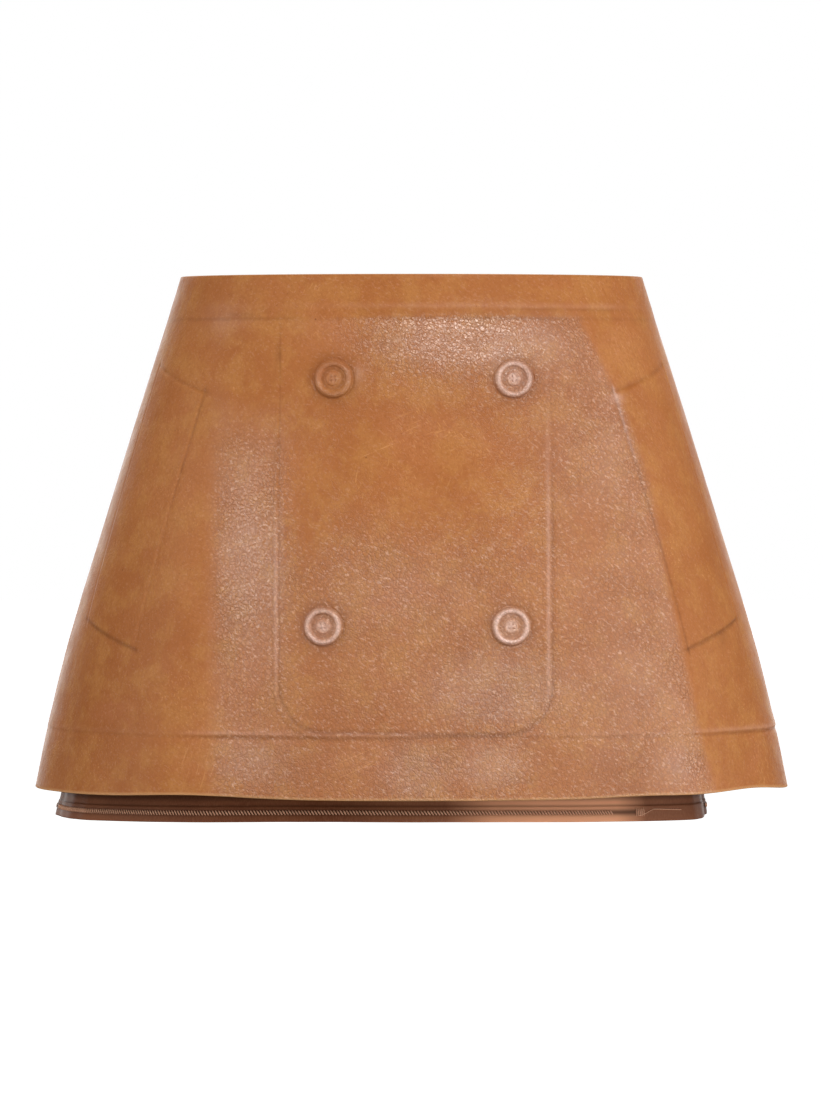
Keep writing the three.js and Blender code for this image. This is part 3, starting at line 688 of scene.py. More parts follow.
def side_guides(side):
    """Lines down one side of the front, from the side seam in, with the cells up to the next one."""
    edge = PLACKET["left"] if side < 0 else PLACKET["right"]
    upper, lower = [button for button in BUTTONS if button["side"] == side]

    def seam(z):
        return side * (math.pi / 2 - SEAM_GAP / 2 / leather_section(z)["front"])

    def flap_line(inside, from_outer):
        def at(z):
            inner, outer, width = flap_edges(side, z)
            share = inside / width * (outer - inner)
            return side * (outer - share if from_outer else inner + share)
        return at

    def placket_line(inside):
        return lambda z: angle_of_x(np.full_like(z, edge - side * inside), z)

    def button_line(offset):
        def at(z):
            share = (upper["z"] - z) / (upper["z"] - lower["z"])
            return angle_of_x(lerp(upper["x"], lower["x"], share) + offset, z)
        return at

    def beside(lines, flap, last):
        counts = [GUIDE_CELLS["beside"]] * (len(lines) - 1) + [GUIDE_CELLS[last]]
        return [(line, flap, count) for line, count in zip(lines, counts)]

    half = BUTTON_BLOCK["half"]
    return [
        (seam, 1, GUIDE_CELLS["seam"]),
        *beside([flap_line(inside, True) for inside in GUIDES], 1, "flap"),
        *beside([flap_line(inside, False) for inside in reversed(GUIDES)], 1, "panel"),
        *beside([placket_line(inside) for inside in GUIDES], 0, "placket"),
        (button_line(side * half), 0, BUTTON_BLOCK["cells"]),
        (button_line(-side * half), 0, 0),
    ]


def columns_between(side, guides):
    """Lines from guide to guide, with how far each follows the flap's rows and its place across the flap."""
    middle = np.array([(FLAP_TOP + FLAP_BOTTOM) / 2])
    inner, outer, _ = flap_edges(side, middle)
    columns = []
    for (at, flap, cells), (next_at, next_flap, _) in zip(guides, guides[1:]):
        for share in np.arange(cells) / cells:
            line = between(at, next_at, share)
            across = float(np.clip((abs(line(middle)) - inner) / (outer - inner), 0, 1)[0])
            columns.append((line, float(lerp(flap, next_flap, ease(share))), across))
    return columns


def front_columns():
    left, right = side_guides(-1), side_guides(1)
    shares = np.linspace(0, 1, GUIDE_CELLS["centre"] + 1)
    middle = [(between(left[-1][0], right[-1][0], share), 0, 0) for share in shares]
    return columns_between(-1, left) + middle + columns_between(1, right)[::-1]


def front_rows():
    """Rows of the face: a height in the middle, one on the flaps, and how far it tilts with them."""
    rows = [(-EDGE_ROUND, -EDGE_ROUND, 0.0)]

    def extend(z, flap, tilt, cells):
        start = rows[-1]
        for share in np.arange(1, cells + 1) / cells:
            rows.append(tuple(lerp(a, b, share) for a, b in zip(start, (z, flap, tilt))))

    half, cells = BUTTON_BLOCK["half"], BUTTON_BLOCK["cells"]
    outside = [-step for step in GUIDES]
    after = [outside[-1] - row for row in FLAP_ROWS["after"]]
    reaches = [outside[0] + FLAP_ROWS["before"], *outside, *after]
    drop = 2 * half / (len(reaches) - 1)
    for row, count in zip(WAIST_ROWS, ROW_CELLS["waist"]):
        extend(WAIST_LINE + row, WAIST_LINE + row, 0, count)
    blocks = [
        (BUTTONS[0]["z"], [FLAP_TOP + reach for reach in reaches], ROW_CELLS["buttons"]),
        (BUTTONS[1]["z"], [FLAP_BOTTOM - reach for reach in reversed(reaches)], ROW_CELLS["middle"]),
    ]
    for middle, flaps, before in blocks:
        for k, flap in enumerate(flaps):
            extend(middle + half - drop * k, flap, 1, cells // (len(reaches) - 1) if k else before)
    levels = [(PLACKET["bottom"] + PLACKET["corner"], ROW_CELLS["placket"])]
    levels += [(HEM_LINE + row, count) for row, count in zip(HEM_ROWS, ROW_CELLS["hem"])]
    for z, count in [*levels, (EDGE_ROUND - LENGTH, ROW_CELLS["edge"])]:
        extend(z, z, 0, count)
    return rows


def face_grid(columns, rows):
    """Angle and height of every point of the front's face."""
    z_middle, z_flap, tilt = np.array(rows).T
    angles, heights = [], []
    for line, flap, across in columns:
        z = lerp(z_middle, z_flap + tilt * FLAP_TILT * (across - 0.5), flap)
        heights.append(z)
        angles.append(line(z))
    return np.stack(angles, axis=1), np.stack(heights, axis=1)


def block_rim(grid, top, left, cells):
    """The ring of points round a block of cells, anticlockwise from its top left corner."""
    return np.concatenate([
        grid[top:top + cells, left],
        grid[top + cells, left:left + cells],
        grid[top + cells:top:-1, left + cells],
        grid[top, left + cells:left:-1],
    ])


def mould_button(skin, button, outer):
    """Fills a block of cells with rings round a button's middle."""
    points = np.concatenate(skin.points)[outer]
    turns = np.arctan2(points[:, 2] - button["z"], points[:, 0] - button["x"])
    for radius in np.linspace(BUTTON_STEPS[-1][0], BUTTON_BLOCK["middle"], BUTTON_BLOCK["rings"]):
        x = button["x"] + radius * np.cos(turns)
        z = button["z"] + radius * np.sin(turns)
        ring = add_face(skin, angle_of_x(x, z), z, front_relief, front_gloss)
        skin.ring(outer, ring)
        outer = ring
    skin.faces.append(outer.tolist())


def make_front(material):
    skin = Skin("crease", "rub", "cut", "flesh", "gloss")
    columns, rows = front_columns(), front_rows()
    angle, z = face_grid(columns, rows)
    grid = add_face(skin, angle, z, front_relief, front_gloss)
    cells, half = BUTTON_BLOCK["cells"], BUTTON_BLOCK["half"]
    keep = np.ones((len(rows) - 1, len(columns) - 1), bool)
    blocks = []
    for button in BUTTONS:
        top = int(np.argmin([abs(row[0] - button["z"] - half) for row in rows]))
        edge = angle_of_x(button["x"] - half, button["z"])
        left = int(np.argmin(np.abs(angle[top + cells // 2] - edge)))
        keep[top:top + cells, left:left + cells] = False
        blocks.append((button, top, left))
    skin.quads(grid, keep)
    for button, top, left in blocks:
        mould_button(skin, button, block_rim(grid, top, left, cells))
    close_hide(skin, angle, z[:, 0], grid, FLESH_CELLS["front"])
    return skin.build("skirt_front", SKIRT, material)


# The back hides

def spaced(*stops):
    """Places from stop to stop, each stop with the number of cells before it."""
    places = [stops[0]]
    for stop, cells in stops[1:]:
        places.extend(np.linspace(places[-1], stop, cells + 1)[1:])
    return np.array(places)


def back_heights():
    end = -ZIP["length"]
    return spaced(
        -EDGE_ROUND, (-16, 8), (-32, 26), (end, 59), (end - 0.8, 2), (end - ZIP["step"], 1),
        (-260, 33), (-280, 32), (EDGE_ROUND - LENGTH, 13),
    )


def make_back(name, side, material):
    skin = Skin("crease", "rub", "cut", "flesh", "gloss")
    z = back_heights()
    seam = math.pi / 2 + SEAM_GAP / 2 / leather_section(z)["back"]
    half_gap = lerp(SEAM_GAP / 2, ZIP["reveal"] / 2, above_zip_end(z))
    centre = math.pi - angle_of_x(half_gap, z)
    left, right = (seam, centre) if side > 0 else (-centre, -seam)
    towards_centre = spaced(0, (0.03, 7), (0.94, 69), (1, 25))
    share = towards_centre if side > 0 else 1 - towards_centre[::-1]
    angle = lerp(left[:, None], right[:, None], share)
    face = add_face(skin, angle, z[:, None] + 0 * angle, back_relief, back_gloss)
    skin.quads(face)
    close_hide(skin, angle, z, face, FLESH_CELLS["back"])
    return skin.build(name, SKIRT, material)


# The lining

def lining_point(angle, down, inset):
    """A point of the lining without its small folds. Down is 0 at its top and 1 at its hem."""
    from_centre = np.abs(math.pi - np.abs(angle)) * leather_section(np.array(float(LINING_TOP)))["back"]
    room = ease((TAPE_ROOM["half_width"] + TAPE_ROOM["ease"] - from_centre) / TAPE_ROOM["ease"])
    gap = LINING_GAP + room * (ZIP["tape"] + 2 * TAPE_GAP)
    top = leather_point(angle, np.full_like(angle, LINING_TOP), LEATHER + gap + inset)
    wave = sum(row["out"] * np.sin(row["count"] * angle + math.radians(row["turn"])) for row in LINING_WAVES)
    x, y = section_point(LINING_HEM_SECTION, angle, inset - wave)
    hem = LINING_HEM + LINING_DIP * np.cos(2 * angle)
    return np.stack([
        lerp(top[..., 0], x + LINING_SLIP, down),
        lerp(top[..., 1], y, down),
        lerp(LINING_TOP, hem, down),
    ], axis=-1)


def satin_point(angle, down, inset):
    """A point of the lining with its small folds, which die out towards its top."""
    folds = 0
    for row in LINING_FOLDS:
        folds = folds + row["out"] * np.sin(row["count"] * angle + row["start"] + row["drift"] * down)
    return lining_point(angle, down, inset - folds * ease((down - 0.25) / 0.6))


def lining_lines(above, x):
    """The lining's painted shade above its hem: dark lines at the stitch row and the turn-up's edge, and the
    leather's shadow.
    """
    row = bell(above - LINING_STITCH["above"], 1.9) * (1 - fade("row_end", x))
    fold = 0.5 * bell(above - TURN_UP["height"] - 0.6, 0.7)
    return np.clip(row + fold + 0.6 * fade("leather_shade", above), 0, 1)


def make_lining(name, centre, material):
    skin = Skin("pale", "row")
    length = LINING_TOP - LINING_HEM
    turn = 1 - TURN_UP["height"] / length
    seam = SEAM_GAP / 2 / leather_section(np.array(float(LINING_TOP)))["front"]
    half = math.pi / 2 - seam
    angles = np.linspace(centre - half, centre + half, LINING_CELLS["across"] + 1)
    downs = spaced(0, (turn - 0.02, LINING_CELLS["down"]), (turn - 0.018, 1), (1, LINING_CELLS["turn_up"]))
    angle, down = np.meshgrid(angles, downs)
    above = (1 - down) * length
    out = TURN_UP["thickness"] * ease((TURN_UP["height"] - above) / TURN_UP["step"] + 1)
    under = np.clip(TURN_UP["round"] - above, 0, TURN_UP["round"])
    points = satin_point(angle, down, under / 2 - out)
    x = points[..., 0]
    in_front = math.cos(centre) > 0
    # pale is a painted highlight on the front satin; row is painted shade
    pale = level_along(LINING_PAINTED_SHINE, x) * in_front
    outer = skin.add(points, pale=pale, row=lining_lines(above, x * in_front))
    inner_downs = spaced(0, (0.95, 19), (0.96, 1), (1, 4))
    inner = skin.add(satin_point(*np.meshgrid(angles[::LINING_CELLS["inside"]], inner_downs), LINING))
    skin.quads(outer)
    skin.wall(outer, inner)
    return skin.build(name, SKIRT, material)


# Stitches, as small capsules in one mesh

def unit(vectors):
    return vectors / np.linalg.norm(vectors, axis=-1, keepdims=True)


def capsules(name, centres, ways, normals, size, material):
    """One mesh of small capsules, each along its way and lifted along its normal."""
    turns = np.linspace(0, 2 * math.pi, CAPSULE["sides"], endpoint=False)
    along = np.linspace(-1, 1, CAPSULE["rings"])
    radii = size["radius"] * np.sqrt(np.clip(1 - along ** 2, CAPSULE["end"], 1)) ** CAPSULE["blunt"]
    across = np.cross(ways, normals)
    rim = across[:, None] * np.cos(turns)[:, None] + normals[:, None] * np.sin(turns)[:, None]
    middles = centres + normals * size["lift"]
    axis = middles[:, None] + ways[:, None] * (along * size["length"] / 2)[:, None]
    skin = Skin()
    here = skin.add(axis[:, :, None] + rim[:, None] * radii[:, None, None])
    after = np.roll(here, -1, axis=2)
    walls = np.stack([here[:, :-1], here[:, 1:], after[:, 1:], after[:, :-1]], axis=-1)
    skin.faces = walls.reshape(-1, 4).tolist() + here[:, 0].tolist() + here[:, -1, ::-1].tolist()
    return skin.build(name, SKIRT, material)


def surface_frame(point_at, angle, other, step=0.002, drop=0.002):
    """A place on a surface of angle and height, with its rightward, downward and outward directions."""
    here = point_at(angle, other)
    right = unit(point_at(angle + step, other) - point_at(angle - step, other))
    down = unit(point_at(angle, other + drop) - point_at(angle, other - drop))
    return here, right, down, unit(np.cross(down, right))


def turn_up_point(angle, down):
    """A point on the outer face of the lining's turned-up hem."""
    return satin_point(angle, down, -TURN_UP["thickness"])


def turn_up_frame(x, above):
    """The frame of the front turn-up at distances across and above its hem."""
    down = 1 - above / (LINING_TOP - LINING_HEM)
    angles = np.linspace(-math.pi / 2, math.pi / 2, 800)
    at_x = turn_up_point(angles, np.full_like(angles, float(np.mean(down))))[:, 0]
    return surface_frame(turn_up_point, np.interp(x, at_x, angles), down)


def make_lining_tack(material):
    """The bar tack that ends the front's row."""
    x = LINING_TACK["x"] + LINING_TACK["pitch"] * np.arange(LINING_TACK["stitches"])
    here, _, down, out = turn_up_frame(x, np.full_like(x, LINING_STITCH["above"]))
    return capsules("hem_tack", here, down, out, LINING_TACK, material)


def make_thread_tail(material):
    """The loose end of the row's thread, from the bar tack on."""
    x = np.arange(LINING_TAIL["from"], LINING_TAIL["to"], LINING_TAIL["pitch"])
    share = (x - x[0]) / (x[-1] - x[0])
    rise = LINING_TAIL["rise"] * ease(share / 0.4) * (1 - 0.3 * share)
    here, _, _, out = turn_up_frame(x, LINING_STITCH["above"] - LINING_TAIL["low"] + rise)
    ways = unit(np.gradient(here, axis=0))
    return capsules("thread_tail", here, ways, out, LINING_TAIL, material)


def make_lining_stitches(name, centre, reach, material):
    """The slanted overlock row that holds the lining's turned-up hem."""
    at = 1 - LINING_STITCH["above"] / (LINING_TOP - LINING_HEM)
    coarse = np.linspace(centre + reach[0], centre + reach[1], 800)
    runs = run_along(turn_up_point(coarse, np.full_like(coarse, at)))
    count = int(runs[-1] / LINING_STITCH["pitch"])
    angle = np.interp(np.linspace(0, runs[-1], count), runs, coarse)
    here, right, down, out = surface_frame(turn_up_point, angle, np.full_like(angle, at))
    slant = math.radians(LINING_STITCH["slant"])
    ways = unit(right * math.cos(slant) + down * math.sin(slant))
    return capsules(name, here, ways, out, LINING_STITCH, material)


def back_point(angle, z):
    return leather_point(angle, z, -back_relief(angle, z)[0])


def make_zip_stitches(material):
    """One row of stitches on the hide along each side of the zip."""
    top, end = ZIP_STITCH["top"], ZIP_STITCH["end"] - ZIP["length"]
    z = np.linspace(top, end, int((top - end) / ZIP_STITCH["pitch"]))
    x = ZIP["reveal"] / 2 + ZIP_STITCH["from_edge"]
    angle = math.pi - angle_of_x(np.full_like(z, x), z)
    rows = [surface_frame(back_point, side * angle, z, drop=-0.2) for side in (-1, 1)]
    here, _, down, out = (np.concatenate(parts) for parts in zip(*rows))
    out = np.where(out[:, 1:2] < 0, -out, out)
    return capsules("zip_stitches", here, down, out, ZIP_STITCH, material)


# The zip

def tape_point(x, z, inset):
    angle = math.pi - angle_of_x(np.abs(x) + 1e-6, z)
    point = leather_point(angle, z, LEATHER + TAPE_GAP + inset)
    point[..., 0] = x
    return point


def make_tape(material):
    skin = Skin()
    z = np.linspace(ZIP["top"], -ZIP["length"] - ZIP["tail"], 120)
    x = np.linspace(ZIP["tape_width"] / 2, -ZIP["tape_width"] / 2, 27)
    across, height = np.meshgrid(x, z)
    outer = skin.add(tape_point(across, height, 0))
    inner = skin.add(tape_point(across[:, ::2], height[:, ::2], ZIP["tape"]))
    skin.quads(outer)
    skin.wall(outer, inner)
    return skin.build("zip_cloth", SKIRT, material)


def make_teeth(material):
    """Two interlocking rows of metal teeth down the middle of the tape."""
    count = int((ZIP["length"] - TEETH["short_of_end"]) / TEETH["pitch"])
    size = Vector((TEETH["width"], TEETH["out"], TEETH["height"])) * MM
    mesh = bpy.data.meshes.new("zip_teeth")
    work = bmesh.new()
    for k in range(2 * count):
        x = TEETH["offset"] if k % 2 else -TEETH["offset"]
        z = ZIP["top"] - TEETH["from_top"] - (k / 2) * TEETH["pitch"]
        middle = Vector(tape_point(np.array([x]), np.array([z]), -TEETH["out"] / 2)[0]) * MM
        for vertex in bmesh.ops.create_cube(work, size=1)["verts"]:
            taper = TEETH["taper"] if vertex.co.y > 0 else 1
            vertex.co = middle + size * vertex.co * Vector((taper, 1, taper))
    parts = work.edges[:] + work.verts[:]
    bmesh.ops.bevel(work, geom=parts, offset=TEETH["bevel"] * MM, segments=1, affect="EDGES", profile=0.5)
    bmesh.ops.recalc_face_normals(work, faces=work.faces)
    work.to_mesh(mesh)
    work.free()
    return finish_mesh(mesh, "zip_teeth", SKIRT, material)


def make_hardware(name, node, body, material):
    """A zip part with its CAD node's own shape, its edges rounded."""
    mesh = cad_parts[node].data.copy()
    mesh.materials.clear()
    work = bmesh.new()
    work.from_mesh(mesh)
    bmesh.ops.remove_doubles(work, verts=work.verts, dist=1e-6)
    flat, steep = math.radians(HARDWARE["flat"]), math.radians(HARDWARE["sharp"])
    bmesh.ops.dissolve_limit(work, angle_limit=flat, verts=work.verts, edges=work.edges)
    sharp = [edge for edge in work.edges if edge.is_manifold and edge.calc_face_angle(0) > steep]
    bmesh.ops.bevel(work, geom=sharp, offset=HARDWARE["bevel"] * MM, segments=3, affect="EDGES", profile=0.6)
    work.to_mesh(mesh)
    work.free()
    piece = finish_mesh(mesh, name, body, material)
    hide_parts(node)


# Materials

def linear(red, green, blue):
    """A colour given as three bytes, as Blender's linear values."""
    shares = np.array((red, green, blue), float) / 255
    values = np.where(shares <= 0.04045, shares / 12.92, ((shares + 0.055) / 1.055) ** 2.4)
    return (*values.tolist(), 1.0)


class Nodes:
    """A new material with short ways to add its nodes."""

    def __init__(self, name):
        self.material = bpy.data.materials.new(name)
        self.material.use_nodes = True
        self.tree = self.material.node_tree
        self.shader = self.tree.nodes["Principled BSDF"]
        self.place = self.new("ShaderNodeTexCoord").outputs["Object"]

    def new(self, kind, **settings):
        node = self.tree.nodes.new(kind)
        for key, value in settings.items():
            setattr(node, key, value)
        return node

    def feed(self, node, **inputs):
        """Sets a node's inputs by name to numbers, colours or other nodes' outputs."""
        for key, value in inputs.items():
            socket = node.inputs[key.replace("_", " ")]
            if isinstance(value, bpy.types.NodeSocket):
                self.tree.links.new(value, socket)
            else:
                socket.default_value = value
        return node

    def mapped(self, scale, turn=0):
        """The place, turned round the Y axis and then scaled along each axis."""
        turned, scaled = self.new("ShaderNodeMapping"), self.new("ShaderNodeMapping")
        self.feed(turned, Vector=self.place, Rotation=(0, math.radians(turn), 0))
        return self.feed(scaled, Vector=turned.outputs["Vector"], Scale=scale).outputs["Vector"]

    def noise(self, scale, detail=2.0, rough=0.5, distort=0.0, vector=None):
        node = self.new("ShaderNodeTexNoise")
        self.feed(node, Vector=vector or self.place, Scale=scale)
        self.feed(node, Detail=detail, Roughness=rough, Distortion=distort)
        return node.outputs["Fac"]

    def streaks(self, scale, turn=0, detail=2.0, rough=0.5, distort=0.0):
        """A noise with its own scale along each axis."""
        return self.noise(1, detail, rough, distort, self.mapped(scale, turn))

    def cells(self, scale, feature="F1", vector=None):
        node = self.new("ShaderNodeTexVoronoi", feature=feature)
        return self.feed(node, Vector=vector or self.place, Scale=scale).outputs["Distance"]

    def wander(self, vector, reach):
        """Moves a place about by a noise, so that cells lose their straight sides."""
        noise = self.feed(self.new("ShaderNodeTexNoise"), Vector=vector, Scale=1.3)
        shift = self.feed(self.new("ShaderNodeVectorMath", operation="SCALE"), Scale=reach)
        self.tree.links.new(noise.outputs["Color"], shift.inputs[0])
        total = self.new("ShaderNodeVectorMath", operation="ADD")
        self.tree.links.new(vector, total.inputs[0])
        self.tree.links.new(shift.outputs["Vector"], total.inputs[1])
        return total.outputs["Vector"]

    def ramp(self, value, low, high, least=0.0, most=1.0):
        """A value eased from the least below low to the most above high."""
        node = self.new("ShaderNodeMapRange", interpolation_type="SMOOTHSTEP")
        self.feed(node, Value=value, From_Min=low, From_Max=high, To_Min=least, To_Max=most)
        return node.outputs["Result"]

    def maths(self, operation, a, b):
        node = self.new("ShaderNodeMath", operation=operation)
        for socket, value in zip(node.inputs, (a, b)):
            if isinstance(value, bpy.types.NodeSocket):
                self.tree.links.new(value, socket)
            else:
                socket.default_value = value
        return node.outputs["Value"]

    def times(self, first, *others):
        for other in others:
            first = self.maths("MULTIPLY", first, other)
        return first

    def rare(self, pattern, scale, low, high, detail=2.0):
        """A pattern kept only where a broad noise is high."""
        return self.times(pattern, self.ramp(self.noise(scale, detail), low, high))

    def mix(self, share, a, b, kind="RGBA"):
        node = self.new("ShaderNodeMix", data_type=kind)
        return self.feed(node, Factor=share, A=a, B=b).outputs["Result"]

    def over(self, colour, other, *shares):
        """Another colour laid over a first one by the product of its shares."""
        return self.mix(self.times(*shares), colour, other)

    def value(self, name):
        return self.new("ShaderNodeAttribute", attribute_name=name).outputs["Fac"]

    def bump(self, height, strength, distance, normal=None):
        node = self.feed(self.new("ShaderNodeBump"), Height=height, Strength=strength, Distance=distance)
        if normal is not None:
            self.feed(node, Normal=normal)
        return node.outputs["Normal"]

    def shade(self, **inputs):
        self.feed(self.shader, **inputs)
        return self.material


HIDE_DEEP = linear(168, 100, 52)
HIDE_MID = linear(186, 117, 66)
HIDE_OCHRE = linear(198, 137, 76)
HIDE_PINK = linear(194, 122, 82)
# Dark brown of real specks and nicks, and of the painted shade in grooves, creases and grain cracks
HIDE_SPECK_AND_SHADE = linear(112, 62, 30)
# Pinkish white of rubbed ridges and of the painted highlight on them
HIDE_RUB_AND_HIGHLIGHT = linear(248, 204, 188)
HIDE_FLECK = linear(226, 164, 104)
# Colour of the painted glints
HIDE_PAINTED_GLINT = linear(242, 196, 168)
HIDE_CUT = linear(212, 156, 106)
HIDE_FLESH = linear(176, 132, 92)

# Clouds of dye, each laid over the ones before it
DYE_CLOUDS = table(
    "scale detail rough distort low high least most colour",
    (8, 3, 0.6, 0, 0.3, 0.62, 0.2, 1, HIDE_MID),
    (52, 5, 0.66, 0, 0.42, 0.66, 0, 0.55, HIDE_OCHRE),
    (18, 4, 0.6, 0.6, 0.5, 0.74, 0, 0.35, HIDE_PINK),
    (460, 3, 0.6, 0, 0.35, 0.75, 0, 0.4, HIDE_DEEP),
)
SCRATCHES = table(
    "turn scale rare", (24, (7, 900, 900), 13), (-58, (9, 1200, 1200), 17), (74, (6, 800, 800), 11)
)


def hide_dye(m):
    colour = HIDE_DEEP
    for row in DYE_CLOUDS:
        cloud = m.noise(row["scale"], row["detail"], row["rough"], row["distort"])
        share = m.ramp(cloud, row["low"], row["high"], row["least"], row["most"])
        colour = m.mix(share, colour, row["colour"])
    mottle = m.ramp(m.streaks((150, 150, 90), 35, 5, 0.75), 0.5, 0.7, 0.0, 0.4)
    return m.mix(mottle, colour, HIDE_DEEP)


def hide_scratches(m):
    """Long fine scratches that run three ways."""
    scratches = 0.0
    for row in SCRATCHES:
        lines = m.ramp(m.streaks(row["scale"], row["turn"], 1, 0.4), 0.65, 0.71)
        scratches = m.maths("MAXIMUM", m.rare(lines, row["rare"], 0.54, 0.64), scratches)
    return scratches


def hide_specks(m, colour):
    """Pale flecks, dark specks and a few nicks."""
    flecks = m.ramp(m.streaks((260, 260, 170), 30, 4, 0.7), 0.58, 0.72)
    colour = m.over(colour, HIDE_FLECK, m.rare(flecks, 23, 0.46, 0.62), 0.3)
    specks = m.ramp(m.cells(300), 0.04, 0.16, 1.0, 0.0)
    colour = m.over(colour, HIDE_SPECK_AND_SHADE, m.rare(specks, 40, 0.5, 0.62), 0.4)
    nicks = m.ramp(m.cells(70), 0.02, 0.06, 1.0, 0.0)
    return m.over(colour, HIDE_SPECK_AND_SHADE, m.rare(nicks, 24, 0.58, 0.62, detail=1), 0.6)


def hide_wear_shade_and_highlight(m, colour):
    """Painted shade in the moulding's grooves and creases, its rub and painted highlight, the cut edges and
    the flesh side.
    """
    uneven = m.ramp(m.noise(90, 3, 0.6), 0.3, 0.7, 0.6, 1.0)
    # Painted shade, then rub and painted highlight, each made uneven
    colour = m.over(colour, HIDE_SPECK_AND_SHADE, m.value("crease"), uneven, 0.6)
    colour = m.over(colour, HIDE_RUB_AND_HIGHLIGHT, m.value("rub"), uneven, 0.95)
    colour = m.mix(m.value("cut"), colour, HIDE_CUT)
    return m.mix(m.value("flesh"), colour, HIDE_FLESH)


def hide_bumps(m, cracks, glossy, scratches):
    depth = m.ramp(m.noise(34), 0.3, 0.65, 0.4, 1.0)
    normal = m.bump(m.noise(60), 0.3, 0.0012)
    normal = m.bump(m.streaks((240, 240, 150), -24, 4, 0.6, 0.8), 0.4, 0.0008, normal)
    normal = m.bump(m.times(cracks, depth, glossy), 1.0, 0.00024, normal)
    normal = m.bump(m.times(m.streaks((420, 420, 300), 52, 2, 0.7, 0.4), glossy), 1.0, 0.00025, normal)
    return m.bump(scratches, 0.15, -0.0002, normal)


def leather_material():
    """Waxed hide. Where the wax is glossy, its fine cracks stand out with painted shade and painted glints
    are laid on it.
    """
    m = Nodes("waxed_leather")
    scratches = hide_scratches(m)
    colour = m.over(hide_dye(m), HIDE_FLECK, scratches, 0.36)
    colour = hide_wear_shade_and_highlight(m, hide_specks(m, colour))
    glossy = m.ramp(m.value("gloss"), 0.1, 0.6, 0.25, 1.0)
    pulled = m.wander(m.mapped((470, 470, 350), 28), 0.9)
    cracks = m.ramp(m.cells(1, "DISTANCE_TO_EDGE", pulled), 0.0, 0.2)
    # Painted shade in the grain's cracks, only where glossy
    colour = m.over(colour, HIDE_SPECK_AND_SHADE, m.maths("SUBTRACT", 1.0, cracks), glossy, 0.26)
    # Painted glints: pale specks laid only where glossy
    painted_glints = m.ramp(m.streaks((700, 700, 330), 58, 3, 0.7), 0.54, 0.68)
    colour = m.over(colour, HIDE_PAINTED_GLINT, painted_glints, glossy, 0.42)
    unwaxed = m.maths("MAXIMUM", m.value("cut"), m.value("flesh"))
    roughness = m.mix(unwaxed, m.ramp(m.noise(60, 4, 0.6), 0.3, 0.7, 0.34, 0.46), 0.85, "FLOAT")
    normal = hide_bumps(m, cracks, glossy, scratches)
    return m.shade(
        Base_Color=colour, Roughness=roughness, Normal=normal, Specular_IOR_Level=0.05,
        Coat_Weight=m.value("gloss"), Coat_Normal=normal, Coat_IOR=1.9, Coat_Roughness=0.14,
    )


def satin_material():
    m = Nodes("brown_satin")
    threads, weft = m.streaks((3200, 3200, 160)), m.streaks((140, 140, 2600))
    colour = m.mix(m.ramp(m.noise(22, 3), 0.35, 0.7), linear(108, 57, 33), linear(126, 73, 45))
    colour = m.mix(m.ramp(threads, 0.4, 0.7, 0.0, 0.35), colour, linear(166, 110, 80))
    # Painted highlight: the pale value lightens the satin where it should look lit
    colour = m.mix(m.value("pale"), colour, linear(255, 182, 140))
    # The row value lays painted shade: grooves at the stitch row and the turn-up's edge, and the leather
    # hem's shadow
    colour = m.over(colour, linear(48, 26, 16), m.value("row"), 0.8)
    normal = m.bump(weft, 0.1, 0.00015, m.bump(threads, 0.14, 0.0002))
    return m.shade(
        Base_Color=colour, Normal=normal, Roughness=0.42, Specular_IOR_Level=0.08, Anisotropic=0.4
    )


def thread_material(name, dark, light):
    m = Nodes(name)
    twist = m.streaks((2600, 2600, 2600), 40)
    colour = m.mix(m.ramp(twist, 0.35, 0.65), dark, light)
    return m.shade(Base_Color=colour, Normal=m.bump(twist, 0.3, 0.0002), Roughness=0.6)


def tape_material():
    m = Nodes("zip_tape_cloth")
    weave = m.cells(1500)
    colour = m.mix(m.ramp(weave, 0.1, 0.6), linear(66, 40, 24), linear(104, 68, 44))
    ribs = m.streaks((1500, 300, 900), 0, 1)
    colour = m.mix(m.ramp(ribs, 0.4, 0.7, 0.0, 0.4), colour, linear(84, 54, 34))
    return m.shade(Base_Color=colour, Normal=m.bump(weave, 0.5, 0.0003), Roughness=0.85)


def metal_material(name, dark, light):
    m = Nodes(name)
    colour = m.mix(m.ramp(m.noise(300, 4, 0.6), 0.35, 0.7), dark, light)
    roughness = m.ramp(m.noise(160, 3), 0.3, 0.7, 0.34, 0.5)
    brushed = m.bump(m.streaks((4000, 4000, 300)), 0.08, 0.0001)
    return m.shade(Base_Color=colour, Roughness=roughness, Normal=brushed, Metallic=1.0)


# Stage, light and camera, in metres

FRAME_HEIGHT_PIXELS = 1098
METRES_PER_PIXEL = 0.00061
CAMERA = {"distance": 4.0, "height": -0.084, "middle": -0.1657, "sensor": 36.0, "far": 120}
FLOOR = {"drop": 1.9, "reach": 60}
AIM = Vector((0, 0, -0.16))
LIGHT_DISTANCE = 3.0
LIGHT_COLOUR = (1.0, 0.985, 0.955)
FILL, BACKGROUND = 0.17, 1.0

